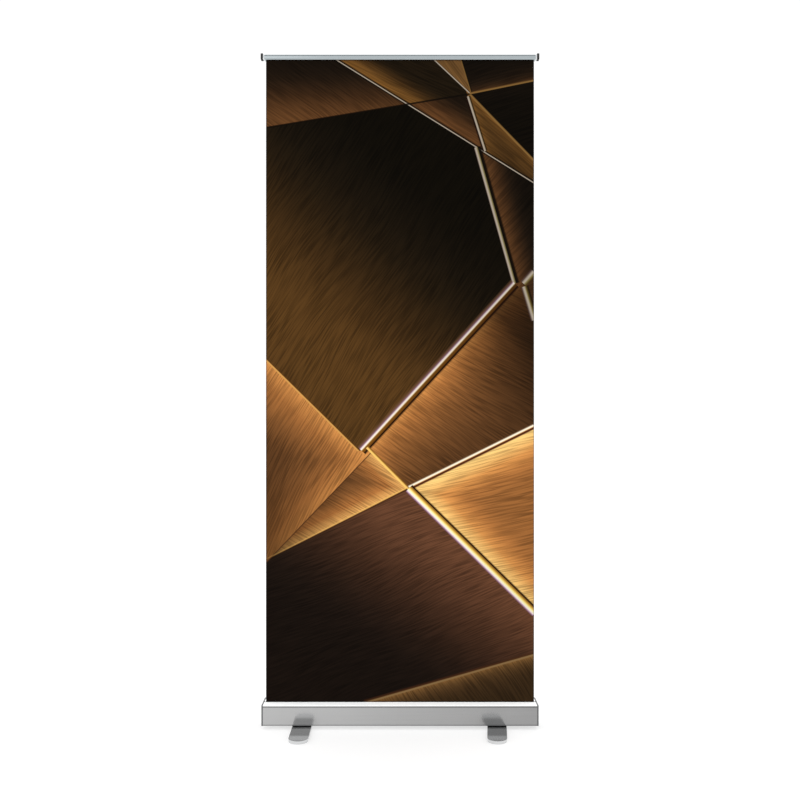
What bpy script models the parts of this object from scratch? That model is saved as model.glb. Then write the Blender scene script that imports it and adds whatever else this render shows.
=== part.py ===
"""Roll-up banner stand, 85 x 200 cm class, modelled in metres with +Z up.

The origin is on the floor, midway between the feet tips and midway along the base.
X runs along the base, -Y is the side that the print faces, and the base lies under
the print with the telescopic pole behind it.
"""
import math

import bmesh
import bpy
from mathutils import Vector

# ---------------------------------------------------------------- driving dimensions
GAP = 0.0003                    # clearance between pieces that touch

PANEL_WIDTH = 0.850
PANEL_THICKNESS = 0.0005
PANEL_Y = 0.0260                # mid-plane of the print
PANEL_LOW = 0.0460
PANEL_HIGH = 2.1245

BASE_HALF = 0.4300              # half the length of the extrusion
BASE_FRONT = -0.0150
BASE_REAR = 0.0750
BASE_LOW = 0.0125
BASE_HIGH = 0.0772
BASE_WALL = 0.0018
BASE_CORNER = 0.0025
SLOT_FRONT = 0.0220
SLOT_REAR = 0.0300
RIB_FRONT = 0.0330              # stiffening rib behind the slot
RIB_THICKNESS = 0.0015
RIB_LOW = 0.0340
BOSS_OFFSET = 0.0032            # screw port centre from the two chamber walls
BOSS_RADIUS = 0.0036

FELT_LOW = 0.0725
FELT_HIGH = 0.0768
FELT_CLEARANCE = 0.00035         # between a felt and the print

CAP_THICKNESS = 0.0042
CAP_CORNER = 0.0035
CAP_BEVEL = 0.0018
BEARING_RADIUS = 0.0085          # boss inside each end cap
BEARING_END = 0.4275             # where the boss stops, short of the roller
BEARING_BORE = (0.4260, 0.4325)
CAP_OVERHANG = 0.0003
SCREW_SHANK = 0.0014
SCREW_HEAD = 0.0030
SCREW_HEAD_DEPTH = 0.0020
SCREW_LENGTH = 0.0140

ROLLER_Y = 0.0092
ROLLER_Z = 0.0440
TUBE_OUTER = 0.0156
TUBE_WALL = 0.0013
TUBE_HALF = 0.4252
ROD_RADIUS = 0.0030
ROD_END = -0.0300
SHAFT_OUTER = 0.4322             # outer end of the rod and of the axle
PLUG_FLANGE = 0.0150
PLUG_FACE = 0.4272
PLUG_LENGTH = 0.0150
PLUG_LIP = 0.0017                # what a plug's flange stands outside the tube
AXLE_RADIUS = 0.0040
AXLE_END = 0.4150
SPRING_MEAN = 0.0058
SPRING_WIRE = 0.0009
SPRING_TURNS = 12
SPRING_POINTS = 10              # points in each turn of the spring
SPRING_START = -0.4080

SOCKET_BODY = 0.0127
SOCKET_FLANGE = 0.0160
SOCKET_FLANGE_THICKNESS = 0.0030
POLE_Y = 0.0500
POLE_WALL = 0.0010
LOWER_RADIUS = 0.0095
MIDDLE_RADIUS = 0.0080
UPPER_RADIUS = 0.0065
LOWER_SPAN = (0.0220, 0.7420)
MIDDLE_SPAN = (0.6820, 1.4120)
UPPER_SPAN = (1.3520, 2.0950)
COLLAR_BELOW = 0.0150           # how far a collar reaches below the end of its tube
COLLAR_ABOVE = 0.0250
COLLAR_BEVEL = 0.0015
LOWER_GRIP = 0.0130              # outer radius of each collar
UPPER_GRIP = 0.0115
TIP_HALF = 0.0100

RAIL_HALF = 0.4290
RAIL_LOW = 2.1133
RAIL_HIGH = 2.1295
RAIL_FRONT = 0.0266             # front face of the rail's rear half
RAIL_REAR = 0.0395
RAIL_WALL = 0.0018
HOOK_FRONT = 0.0333             # groove that sits on the pole tip
HOOK_REAR = 0.0377
HOOK_TOP = 2.1218
HINGE_Y = 0.0225                # bead that the clamping jaw turns on
HINGE_Z = 2.1260
BEAD_RADIUS = 0.0016
JAW_FRONT = 0.0170
JAW_WALL = 0.0016
JAW_CLEARANCE = 0.00035          # between the closed jaw and the print
NECK_OUTER = 0.4342
NECK_LOW = (0.0185, 2.1145)      # depth and height of the neck's corners
NECK_HIGH = (0.0385, 2.1285)
RAIL_CAP_SPAN = (0.4345, 0.4410)
RAIL_CAP_LOW = (0.0165, 2.1135)
RAIL_CAP_HIGH = (0.0400, 2.1327)
RAIL_CAP_BEVEL = 0.0022

FOOT_PIVOT_X = 0.3080
FOOT_PIVOT_Y = 0.0300
FOOT_WIDTH = 0.0600
FOOT_AHEAD = 0.1850
FOOT_BEHIND = 0.1250
FOOT_LOW = 0.0015
FOOT_HIGH = 0.0110
FOOT_TOE_IN = math.radians(5)   # the right foot is turned in a little
BOLT_RADIUS = 0.0040
BOLT_HEAD = 0.0066
BOLT_HEAD_SPAN = (0.0025, 0.0066)
BOLT_TOP = 0.0225
WASHER_RADIUS = 0.0100
NUT_RADIUS = 0.0075
NUT_HEIGHT = 0.0060
FOOT_BEVEL = 0.0025
PAD_INSET = 0.0300               # from each end of the foot
PAD_RADIUS = 0.0090
PAD_HIGH = 0.0032

ALONG_X = (math.pi / 2, 0.0, math.pi / 2)   # turns an outline's plane across the X axis
AXIS_X = (0.0, math.pi / 2, 0.0)            # turns a lathed piece's axis along X

# name: (colour, roughness, metallic)
FINISHES = {
    "anodised_aluminium": ((0.62, 0.63, 0.64, 1.0), 0.28, 1.0),
    "grey_plastic": ((0.16, 0.16, 0.165, 1.0), 0.45, 0.0),
    "black_plastic": ((0.012, 0.012, 0.013, 1.0), 0.40, 0.0),
    "printed_film": ((0.13, 0.075, 0.035, 1.0), 0.35, 0.0),
    "steel": ((0.55, 0.55, 0.56, 1.0), 0.25, 1.0),
    "foot_steel": ((0.60, 0.60, 0.61, 1.0), 0.22, 1.0),
    "rubber": ((0.015, 0.015, 0.015, 1.0), 0.85, 0.0),
    "felt": ((0.60, 0.60, 0.58, 1.0), 0.95, 0.0),
}


# ---------------------------------------------------------------- scene and materials
def clear_scene():
    """Remove every object, so that the script can be run again."""
    for old in list(bpy.data.objects):
        bpy.data.objects.remove(old, do_unlink=True)


def new_collection(name):
    """Make a collection in the scene."""
    collection = bpy.data.collections.new(name)
    bpy.context.scene.collection.children.link(collection)
    return collection


def make_material(name):
    """Make one finish as a Principled material."""
    colour, roughness, metallic = FINISHES[name]
    material = bpy.data.materials.new(name)
    material.use_nodes = True
    shader = material.node_tree.nodes["Principled BSDF"]
    shader.inputs["Base Color"].default_value = colour
    shader.inputs["Roughness"].default_value = roughness
    shader.inputs["Metallic"].default_value = metallic
    material.diffuse_color = colour
    return material


def place(piece, collection, finish=None):
    """Move an object into one collection and give it its finish."""
    for holder in list(piece.users_collection):
        holder.objects.unlink(piece)
    collection.objects.link(piece)
    if finish:
        piece.data.materials.clear()
        piece.data.materials.append(MATERIALS[finish])
    else:
        piece.hide_render = True
        piece.display_type = "WIRE"
    return piece


# ---------------------------------------------------------------- outlines
def arc(centre, radius, start, end, steps):
    """Points of an arc, in degrees, with both ends."""
    points = []
    for index in range(steps + 1):
        angle = math.radians(start + (end - start) * index / steps)
        points.append((centre[0] + radius * math.cos(angle), centre[1] + radius * math.sin(angle)))
    return points


def rounded_box(low, high, radius, steps=4):
    """Outline of a rectangle with round corners, anticlockwise."""
    points = []
    points += arc((high[0] - radius, high[1] - radius), radius, 0, 90, steps)
    points += arc((low[0] + radius, high[1] - radius), radius, 90, 180, steps)
    points += arc((low[0] + radius, low[1] + radius), radius, 180, 270, steps)
    points += arc((high[0] - radius, low[1] + radius), radius, 270, 360, steps)
    return points


def ring(inner, outer, low, high):
    """Closed profile of a tube or washer, its outer side running down."""
    return [(outer, high), (outer, low), (inner, low), (inner, high)]


# ---------------------------------------------------------------- solids
def box(name, low, high, finish=None):
    """A box between two corners."""
    middle = (Vector(low) + Vector(high)) / 2
    bpy.ops.mesh.primitive_cube_add(size=1.0, location=middle)
    piece = bpy.context.object
    piece.name = name
    piece.scale = Vector(high) - Vector(low)
    bpy.ops.object.transform_apply(location=False, rotation=False, scale=True)
    return place(piece, PARTS if finish else CUTTERS, finish)


def cylinder(name, radius, low, high, at=(0.0, 0.0), axis="Z", finish=None, sides=32):
    """A cylinder along Z at (x, y), or along X at (y, z)."""
    middle = (low + high) / 2
    if axis == "Z":
        location = (at[0], at[1], middle)
        rotation = (0.0, 0.0, 0.0)
    else:
        location = (middle, at[0], at[1])
        rotation = AXIS_X
    bpy.ops.mesh.primitive_cylinder_add(
        vertices=sides, radius=radius, depth=high - low, location=location, rotation=rotation)
    piece = bpy.context.object
    piece.name = name
    return place(piece, PARTS if finish else CUTTERS, finish)


def turned(name, profile, location, finish, rotation=(0.0, 0.0, 0.0), closed=True, steps=32):
    """A turned piece: a profile of (radius, height) points carried round by a Screw."""
    count = len(profile)
    mesh = bpy.data.meshes.new(name)
    links = [(index, (index + 1) % count) for index in range(count if closed else count - 1)]
    mesh.from_pydata([(radius, 0.0, height) for radius, height in profile], links, [])
    piece = bpy.data.objects.new(name, mesh)
    piece.location = location
    piece.rotation_euler = rotation
    screw = piece.modifiers.new("Turn", "SCREW")
    screw.steps = steps
    screw.render_steps = steps
    screw.use_merge_vertices = not closed
    screw.merge_threshold = 0.00001
    screw.use_smooth_shade = True
    return place(piece, PARTS, finish)


def outline_curve(name, outlines, half, location=(0.0, 0.0, 0.0), rotation=(0.0, 0.0, 0.0)):
    """A filled flat curve, thickened by half its depth each way; inner outlines are holes."""
    curve = bpy.data.curves.new(name, "CURVE")
    curve.dimensions = "2D"
    curve.fill_mode = "BOTH"
    curve.extrude = half
    for outline in outlines:
        spline = curve.splines.new("POLY")
        spline.points.add(len(outline) - 1)
        for point, (across, up) in zip(spline.points, outline):
            point.co = (across, up, 0.0, 1.0)
        spline.use_cyclic_u = True
    piece = bpy.data.objects.new(name, curve)
    piece.location = location
    piece.rotation_euler = rotation
    return piece


def extrusion(name, outlines, half, finish, location=(0.0, 0.0, 0.0), rotation=ALONG_X):
    """A flat outline given its thickness, made a closed mesh so that it can be cut."""
    guide = outline_curve(name + "_outline", outlines, half, location, rotation)
    CUTTERS.objects.link(guide)
    bpy.context.view_layer.update()
    depsgraph = bpy.context.evaluated_depsgraph_get()
    mesh = bpy.data.meshes.new_from_object(guide.evaluated_get(depsgraph))
    mesh.name = name
    shape = bmesh.new()
    shape.from_mesh(mesh)
    bmesh.ops.remove_doubles(shape, verts=shape.verts, dist=0.00001)
    bmesh.ops.recalc_face_normals(shape, faces=shape.faces)
    shape.to_mesh(mesh)
    shape.free()
    piece = bpy.data.objects.new(name, mesh)
    piece.matrix_world = guide.matrix_world
    bpy.data.objects.remove(guide, do_unlink=True)
    return place(piece, PARTS, finish)


def combine(piece, other, operation):
    """Add a Boolean modifier that joins another solid to a piece, or cuts it away."""
    modifier = piece.modifiers.new(other.name, "BOOLEAN")
    modifier.operation = operation
    modifier.object = other
    modifier.solver = "EXACT"


def round_edges(piece, width, segments, chosen):
    """Bevel the edges whose two ends satisfy a test on their place in the mesh."""
    mesh = piece.data
    weights = mesh.attributes.new("bevel_weight_edge", "FLOAT", "EDGE")
    for edge in mesh.edges:
        ends = [mesh.vertices[index].co for index in edge.vertices]
        weights.data[edge.index].value = 1.0 if chosen(ends[0]) and chosen(ends[1]) else 0.0
    bevel = piece.modifiers.new("Round", "BEVEL")
    bevel.limit_method = "WEIGHT"
    bevel.width = width
    bevel.segments = segments


def parent_to(empty, *pieces):
    """Hang pieces on an empty; their own places are then measured from it."""
    for piece in pieces:
        piece.parent = empty


def pivot_empty(name, location, turn=0.0):
    """An empty on a joint's axis."""
    empty = bpy.data.objects.new(name, None)
    empty.location = location
    empty.rotation_euler = (0.0, 0.0, turn)
    empty.empty_display_size = 0.03
    PARTS.objects.link(empty)
    return empty


# ---------------------------------------------------------------- base
def chamber_corners():
    """Lowest and highest corner of the space inside the base, in (y, z)."""
    low = (BASE_FRONT + BASE_WALL, BASE_LOW + BASE_WALL)
    high = (BASE_REAR - BASE_WALL, BASE_HIGH - BASE_WALL)
    return low, high


def screw_ports():
    """Centres of the four screw ports in (y, z)."""
    low, high = chamber_corners()
    ports = []
    for across in (low[0] + BOSS_OFFSET, high[0] - BOSS_OFFSET):
        for up in (low[1] + BOSS_OFFSET, high[1] - BOSS_OFFSET):
            ports.append((across, up))
    return ports


def housing_outline():
    """Outside and inside of the base profile as one outline, open at the top slot."""
    low, high = chamber_corners()
    near = (low[0] + BOSS_OFFSET, low[1] + BOSS_OFFSET)
    far = (high[0] - BOSS_OFFSET, high[1] - BOSS_OFFSET)
    reach = BOSS_RADIUS
    outside = [(SLOT_FRONT, BASE_HIGH)]
    outside += arc((BASE_FRONT + BASE_CORNER, BASE_HIGH - BASE_CORNER), BASE_CORNER, 90, 180, 4)
    outside += arc((BASE_FRONT + BASE_CORNER, BASE_LOW + BASE_CORNER), BASE_CORNER, 180, 270, 4)
    outside += arc((BASE_REAR - BASE_CORNER, BASE_LOW + BASE_CORNER), BASE_CORNER, 270, 360, 4)
    outside += arc((BASE_REAR - BASE_CORNER, BASE_HIGH - BASE_CORNER), BASE_CORNER, 0, 90, 4)
    outside += [(SLOT_REAR, BASE_HIGH), (SLOT_REAR, high[1])]
    rib_rear = RIB_FRONT + RIB_THICKNESS
    inside = [(RIB_FRONT, high[1]), (RIB_FRONT, RIB_LOW), (rib_rear, RIB_LOW), (rib_rear, high[1])]
    inside += [(far[0] - reach, high[1])] + arc(far, reach, 180, 270, 4) + [(high[0], far[1] - reach)]
    inside += [(high[0], near[1] + reach)] + arc((far[0], near[1]), reach, 90, 180, 4)
    inside += [(far[0] - reach, low[1]), (near[0] + reach, low[1])]
    inside += arc(near, reach, 0, 90, 4) + [(low[0], near[1] + reach)]
    inside += [(low[0], far[1] - reach)] + arc((near[0], far[1]), reach, 270, 360, 4)
    inside += [(near[0] + reach, high[1]), (SLOT_FRONT, high[1])]
    return outside + inside


def build_housing():
    """The long base profile, cut for the pole socket and the foot bolts."""
    outlines = [housing_outline()]
    for port in screw_ports():
        outlines.append(arc(port, SCREW_SHANK + GAP, 0, 330, 11))
    housing = extrusion("base_housing", outlines, BASE_HALF, "anodised_aluminium")
    hole = cylinder("socket_hole", SOCKET_BODY + GAP, 0.0700, 0.0800, at=(0.0, POLE_Y))
    combine(housing, hole, "DIFFERENCE")
    for side in (-1, 1):
        hole = cylinder("bolt_hole", BOLT_RADIUS + GAP, 0.0100, 0.0160,
                        at=(side * FOOT_PIVOT_X, FOOT_PIVOT_Y), sides=24)
        combine(housing, hole, "DIFFERENCE")


def build_felts():
    """Two strips that line the slot on either side of the print."""
    lining = PANEL_THICKNESS / 2 + FELT_CLEARANCE
    for name, front, rear in (("slot_felt_front", SLOT_FRONT + GAP, PANEL_Y - lining),
                              ("slot_felt_rear", PANEL_Y + lining, SLOT_REAR - GAP)):
        box(name, (-PANEL_WIDTH / 2, front, FELT_LOW), (PANEL_WIDTH / 2, rear, FELT_HIGH), "felt")


def build_end_cap(name, side, axle_radius):
    """A cover plate with a bearing boss inside and four countersunk screw holes."""
    inner = BASE_HALF + GAP
    outer = inner + CAP_THICKNESS
    outline = rounded_box((BASE_FRONT - CAP_OVERHANG, BASE_LOW - CAP_OVERHANG),
                          (BASE_REAR + CAP_OVERHANG, BASE_HIGH + CAP_OVERHANG), CAP_CORNER)
    cap = extrusion(name, [outline], CAP_THICKNESS / 2, "grey_plastic",
                    location=(side * (inner + outer) / 2, 0.0, 0.0))
    round_edges(cap, CAP_BEVEL, 2, lambda point: point.z * side > CAP_THICKNESS * 0.4)
    boss_span = sorted((side * BEARING_END, side * (inner + 0.0010)))
    boss = cylinder(name + "_boss", BEARING_RADIUS, *boss_span, at=(ROLLER_Y, ROLLER_Z), axis="X")
    combine(cap, boss, "UNION")
    bore_span = sorted(side * end for end in BEARING_BORE)
    bore = cylinder(name + "_bore", axle_radius + GAP, *bore_span, at=(ROLLER_Y, ROLLER_Z),
                    axis="X", sides=24)
    combine(cap, bore, "DIFFERENCE")
    for number, port in enumerate(screw_ports(), 1):
        hole_span = sorted((side * (inner - 0.0010), side * (outer + 0.0010)))
        hole = cylinder(f"{name}_hole_{number}", SCREW_SHANK + GAP, *hole_span, at=port,
                        axis="X", sides=12)
        combine(cap, hole, "DIFFERENCE")
        seat_span = sorted((side * (outer - SCREW_HEAD_DEPTH - 2 * GAP), side * (outer + 0.0010)))
        seat = cylinder(f"{name}_seat_{number}", SCREW_HEAD + GAP, *seat_span, at=port,
                        axis="X", sides=16)
        combine(cap, seat, "DIFFERENCE")


def build_cap_screws(prefix, side):
    """Four pan-head screws, each turned as one piece."""
    head_face = BASE_HALF + GAP + CAP_THICKNESS - GAP
    profile = [(0.0, 0.0), (SCREW_HEAD - 0.0004, 0.0), (SCREW_HEAD, -0.0004)]
    profile += [(SCREW_HEAD, -SCREW_HEAD_DEPTH), (SCREW_SHANK, -SCREW_HEAD_DEPTH)]
    profile += [(SCREW_SHANK, 0.0006 - SCREW_LENGTH), (SCREW_SHANK - 0.0006, -SCREW_LENGTH)]
    profile += [(0.0, -SCREW_LENGTH)]
    for number, port in enumerate(screw_ports(), 1):
        turned(f"{prefix}_cap_screw_{number}", profile, (side * head_face, port[0], port[1]), "steel",
               rotation=(0.0, side * math.pi / 2, 0.0), closed=False, steps=16)


# ---------------------------------------------------------------- roller
def build_roller():
    """The sprung roller: rod, axle, tube, plugs, spring and the wound leader."""
    centre = (0.0, ROLLER_Y, ROLLER_Z)
    at = (ROLLER_Y, ROLLER_Z)
    bore = TUBE_OUTER - TUBE_WALL
    cylinder("spring_rod", ROD_RADIUS, -SHAFT_OUTER, ROD_END, at=at, axis="X", finish="steel", sides=16)
    cylinder("idle_axle", AXLE_RADIUS, AXLE_END, SHAFT_OUTER, at=at, axis="X", finish="steel", sides=24)
    turned("roller_tube", ring(bore, TUBE_OUTER, -TUBE_HALF, TUBE_HALF), centre,
           "anodised_aluminium", rotation=AXIS_X, steps=32)
    leader_outer = PANEL_Y - PANEL_THICKNESS / 2 - GAP - ROLLER_Y
    turned("leader_roll", ring(TUBE_OUTER + GAP, leader_outer, -PANEL_WIDTH / 2, PANEL_WIDTH / 2),
           centre, "printed_film", rotation=AXIS_X, steps=32)
    fit = bore - GAP
    for name, side, hole in (("roller_plug_left", -1, ROD_RADIUS), ("roller_plug_right", 1, AXLE_RADIUS)):
        profile = [(PLUG_FLANGE, 0.0), (PLUG_FLANGE, -PLUG_LIP), (fit, -PLUG_LIP), (fit, -PLUG_LENGTH)]
        profile += [(hole + GAP, -PLUG_LENGTH), (hole + GAP, 0.0)]
        turned(name, profile, (side * PLUG_FACE, ROLLER_Y, ROLLER_Z), "black_plastic",
               rotation=(0.0, side * math.pi / 2, 0.0), steps=24)
    turned("spring_anchor", ring(ROD_RADIUS + GAP, fit, ROD_END - 0.0060, ROD_END + 0.0080), centre,
           "black_plastic", rotation=AXIS_X, steps=24)
    build_spring(SPRING_START, ROD_END - 0.0100)


def build_spring(start, end):
    """The torsion spring, a helix round the rod."""
    curve = bpy.data.curves.new("roller_spring", "CURVE")
    curve.dimensions = "3D"
    curve.bevel_depth = SPRING_WIRE
    curve.bevel_resolution = 1
    curve.use_fill_caps = True
    spline = curve.splines.new("POLY")
    count = SPRING_TURNS * SPRING_POINTS
    spline.points.add(count)
    for index, point in enumerate(spline.points):
        turn = 2 * math.pi * index / SPRING_POINTS
        along = start + (end - start) * index / count
        point.co = (along, SPRING_MEAN * math.cos(turn), SPRING_MEAN * math.sin(turn), 1.0)
    spring = bpy.data.objects.new("roller_spring", curve)
    spring.location = (0.0, ROLLER_Y, ROLLER_Z)
    place(spring, PARTS, "steel")


# ---------------------------------------------------------------- print
def build_panel():
    """The print, from the roller up into the rail."""
    half = PANEL_THICKNESS / 2
    box("banner", (-PANEL_WIDTH / 2, PANEL_Y - half, PANEL_LOW),
        (PANEL_WIDTH / 2, PANEL_Y + half, PANEL_HIGH), "printed_film")


# ---------------------------------------------------------------- pole
def build_socket():
    """A flanged cup in the base that takes the foot of the pole."""
    floor = BASE_LOW + BASE_WALL + GAP
    seat = LOWER_SPAN[0] - GAP
    flange_low = BASE_HIGH + GAP
    flange_high = flange_low + SOCKET_FLANGE_THICKNESS
    profile = [(SOCKET_FLANGE, flange_high), (SOCKET_FLANGE, flange_low)]
    profile += [(SOCKET_BODY, flange_low), (SOCKET_BODY, floor), (0.0, floor)]
    cup = [(0.0, seat), (LOWER_RADIUS + GAP, seat), (LOWER_RADIUS + GAP, flange_high)]
    turned("pole_socket", cup + profile, (0.0, POLE_Y, 0.0), "black_plastic", closed=False, steps=24)


def build_collar(name, tube_top, tube_radius, inner_radius, grip):
    """A twist lock: a sleeve over one tube that narrows round the next."""
    low = tube_top - COLLAR_BELOW
    high = tube_top + COLLAR_ABOVE
    profile = [(grip - COLLAR_BEVEL, high), (grip, high - COLLAR_BEVEL), (grip, low + COLLAR_BEVEL)]
    profile += [(grip - COLLAR_BEVEL, low), (tube_radius + GAP, low), (tube_radius + GAP, tube_top + GAP)]
    profile += [(inner_radius + GAP, tube_top + GAP), (inner_radius + GAP, high)]
    turned(name, profile, (0.0, POLE_Y, 0.0), "black_plastic", steps=24)


def build_stop_plug(name, outer_bore, own_bore, tube_low):
    """A plug in the lower end of a sliding tube that keeps it centred in the next."""
    flange = outer_bore - GAP
    shank = own_bore - GAP
    top = tube_low + 0.0100
    profile = [(0.0, top), (shank, top), (shank, tube_low - GAP), (flange, tube_low - GAP)]
    profile += [(flange, tube_low - 0.0035), (0.0, tube_low - 0.0035)]
    turned(name, profile, (0.0, POLE_Y, 0.0), "black_plastic", closed=False, steps=24)


def build_pole_tip():
    """The plug on the pole whose forward tongue carries the top rail."""
    top = UPPER_SPAN[1]
    shelf = RAIL_LOW - GAP
    tip = box("pole_tip", (-TIP_HALF, HOOK_FRONT + 0.0005, top + 0.0050),
              (TIP_HALF, POLE_Y + UPPER_RADIUS + 0.0010, shelf), "black_plastic")
    tongue = box("tip_tongue", (-TIP_HALF, HOOK_FRONT + 0.0005, shelf - 0.0050),
                 (TIP_HALF, HOOK_REAR - 0.0005, HOOK_TOP - 0.0005))
    shoulder = cylinder("tip_shoulder", UPPER_RADIUS, top + GAP, top + 0.0080, at=(0.0, POLE_Y))
    plug = cylinder("tip_plug", UPPER_RADIUS - POLE_WALL - GAP, top - 0.0200, top + 0.0080,
                    at=(0.0, POLE_Y))
    for part in (tongue, shoulder, plug):
        combine(tip, part, "UNION")


def build_pole():
    """Three sliding tubes with their collars, stop plugs and tip."""
    build_socket()
    for name, radius, span in (("pole_lower", LOWER_RADIUS, LOWER_SPAN),
                               ("pole_middle", MIDDLE_RADIUS, MIDDLE_SPAN),
                               ("pole_upper", UPPER_RADIUS, UPPER_SPAN)):
        turned(name, ring(radius - POLE_WALL, radius, *span), (0.0, POLE_Y, 0.0), "anodised_aluminium",
               steps=24)
    build_collar("collar_lower", LOWER_SPAN[1], LOWER_RADIUS, MIDDLE_RADIUS, LOWER_GRIP)
    build_collar("collar_upper", MIDDLE_SPAN[1], MIDDLE_RADIUS, UPPER_RADIUS, UPPER_GRIP)
    build_stop_plug("middle_stop_plug", LOWER_RADIUS - POLE_WALL, MIDDLE_RADIUS - POLE_WALL,
                    MIDDLE_SPAN[0])
    build_stop_plug("upper_stop_plug", MIDDLE_RADIUS - POLE_WALL, UPPER_RADIUS - POLE_WALL,
                    UPPER_SPAN[0])
    build_pole_tip()


# ---------------------------------------------------------------- top rail
def rail_outline():
    """Rear half of the snap rail: a box with a hook groove and a hinge channel."""
    hinge = (HINGE_Y, HINGE_Z)
    channel = BEAD_RADIUS + GAP
    crown = RAIL_HIGH - HINGE_Z - 0.0002
    outline = [(RAIL_FRONT, RAIL_LOW), (HOOK_FRONT, RAIL_LOW), (HOOK_FRONT, HOOK_TOP)]
    outline += [(HOOK_REAR, HOOK_TOP), (HOOK_REAR, RAIL_LOW), (RAIL_REAR, RAIL_LOW)]
    outline += arc((RAIL_REAR - 0.0010, RAIL_HIGH - 0.0010), 0.0010, 0, 90, 2)
    outline += [(HINGE_Y + 0.0012, RAIL_HIGH)]
    outline += arc(hinge, crown, 90, 160, 6)
    outline += arc(hinge, channel, 160, 20, 10)
    return outline + [(RAIL_FRONT, HINGE_Z + channel * math.sin(math.radians(20)))]


def rail_hollow():
    """The space inside the rail's rear half."""
    front = RAIL_FRONT + RAIL_WALL
    top = RAIL_HIGH - RAIL_WALL
    bottom = RAIL_LOW + 0.0017
    roof = HOOK_TOP + RAIL_WALL
    side = HOOK_FRONT - 0.0017
    return [(front, bottom), (side, bottom), (side, roof), (HOOK_REAR, roof), (HOOK_REAR, top), (front, top)]


def jaw_outline():
    """The clamping jaw, measured from its hinge bead."""
    front = JAW_FRONT - HINGE_Y
    back = front + JAW_WALL
    low = RAIL_LOW - HINGE_Z
    high = -0.0013
    clamp = PANEL_Y - PANEL_THICKNESS / 2 - JAW_CLEARANCE - HINGE_Y
    outline = [(front + 0.0040, low), (clamp, low), (clamp, low + 0.0017), (front + 0.0047, low + 0.0017)]
    outline += [(back, low + 0.0052), (back, -0.0043), (back + 0.0004, -0.0037)]
    outline += [(-0.0010, -0.0026)]
    outline += arc((0.0, 0.0), BEAD_RADIUS, 292, 292 + 295, 14)
    outline += [(back - 0.0002, -0.0030), (back - 0.0005, high), (front + 0.0005, high)]
    return outline + [(front, high - 0.0005), (front, low + 0.0045)]


def build_rail():
    """The snap rail that clamps the top of the print, with its ends."""
    extrusion("rail_body", [rail_outline(), rail_hollow()], RAIL_HALF, "anodised_aluminium")
    extrusion("rail_jaw", [jaw_outline()], RAIL_HALF, "anodised_aluminium",
              location=(0.0, HINGE_Y, HINGE_Z))
    for name, side in (("left", -1), ("right", 1)):
        inner = RAIL_HALF + GAP
        ends = sorted((side * inner, side * NECK_OUTER))
        neck = box("rail_neck_" + name, (ends[0], *NECK_LOW), (ends[1], *NECK_HIGH),
                   "anodised_aluminium")
        ends = sorted((side * 0.4120, side * 0.4320))
        plug = box("neck_plug_" + name, (ends[0], 0.0287, 2.1155), (ends[1], 0.0313, 2.1272))
        combine(neck, plug, "UNION")
        ends = sorted(side * end for end in RAIL_CAP_SPAN)
        cap = box("rail_cap_" + name, (ends[0], *RAIL_CAP_LOW), (ends[1], *RAIL_CAP_HIGH),
                  "black_plastic")
        round_edges(cap, RAIL_CAP_BEVEL, 3, lambda point: True)


# ---------------------------------------------------------------- feet
def foot_outline():
    """A bar with round ends, measured from its pivot."""
    radius = FOOT_WIDTH / 2
    front = (0.0, radius - FOOT_AHEAD)
    rear = (0.0, FOOT_BEHIND - radius)
    return arc(rear, radius, 0, 180, 12) + arc(front, radius, 180, 360, 12)


def build_foot(name, side, turn):
    """One swivel foot with its pads, and the bolt, washer and nut that hold it."""
    pivot = (side * FOOT_PIVOT_X, FOOT_PIVOT_Y, 0.0)
    empty = pivot_empty(name + "_pivot", pivot, turn)
    thickness = FOOT_HIGH - FOOT_LOW
    foot = extrusion(name, [foot_outline()], thickness / 2, "foot_steel",
                     location=(0.0, 0.0, FOOT_LOW + thickness / 2), rotation=(0.0, 0.0, 0.0))
    round_edges(foot, FOOT_BEVEL, 2, lambda point: point.z > thickness * 0.4)
    pads = ((0.0, PAD_INSET - FOOT_AHEAD, "front"), (0.0, FOOT_BEHIND - PAD_INSET, "rear"))
    cuts = [cylinder(name + "_bolt_hole", BOLT_RADIUS + GAP, 0.0, 0.0200, sides=24)]
    cuts.append(cylinder(name + "_head_seat", BOLT_HEAD + GAP, 0.0, BOLT_HEAD_SPAN[1] + GAP, sides=24))
    for across, along, end in pads:
        cuts.append(cylinder(f"{name}_{end}_pocket", PAD_RADIUS + GAP, 0.0, PAD_HIGH + GAP,
                             at=(across, along), sides=24))
        pad = cylinder(f"{name}_pad_{end}", PAD_RADIUS, 0.0, PAD_HIGH, at=(across, along),
                       finish="rubber", sides=24)
        parent_to(empty, pad)
    for cut in cuts:
        combine(foot, cut, "DIFFERENCE")
    parent_to(empty, foot, *cuts)


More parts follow.
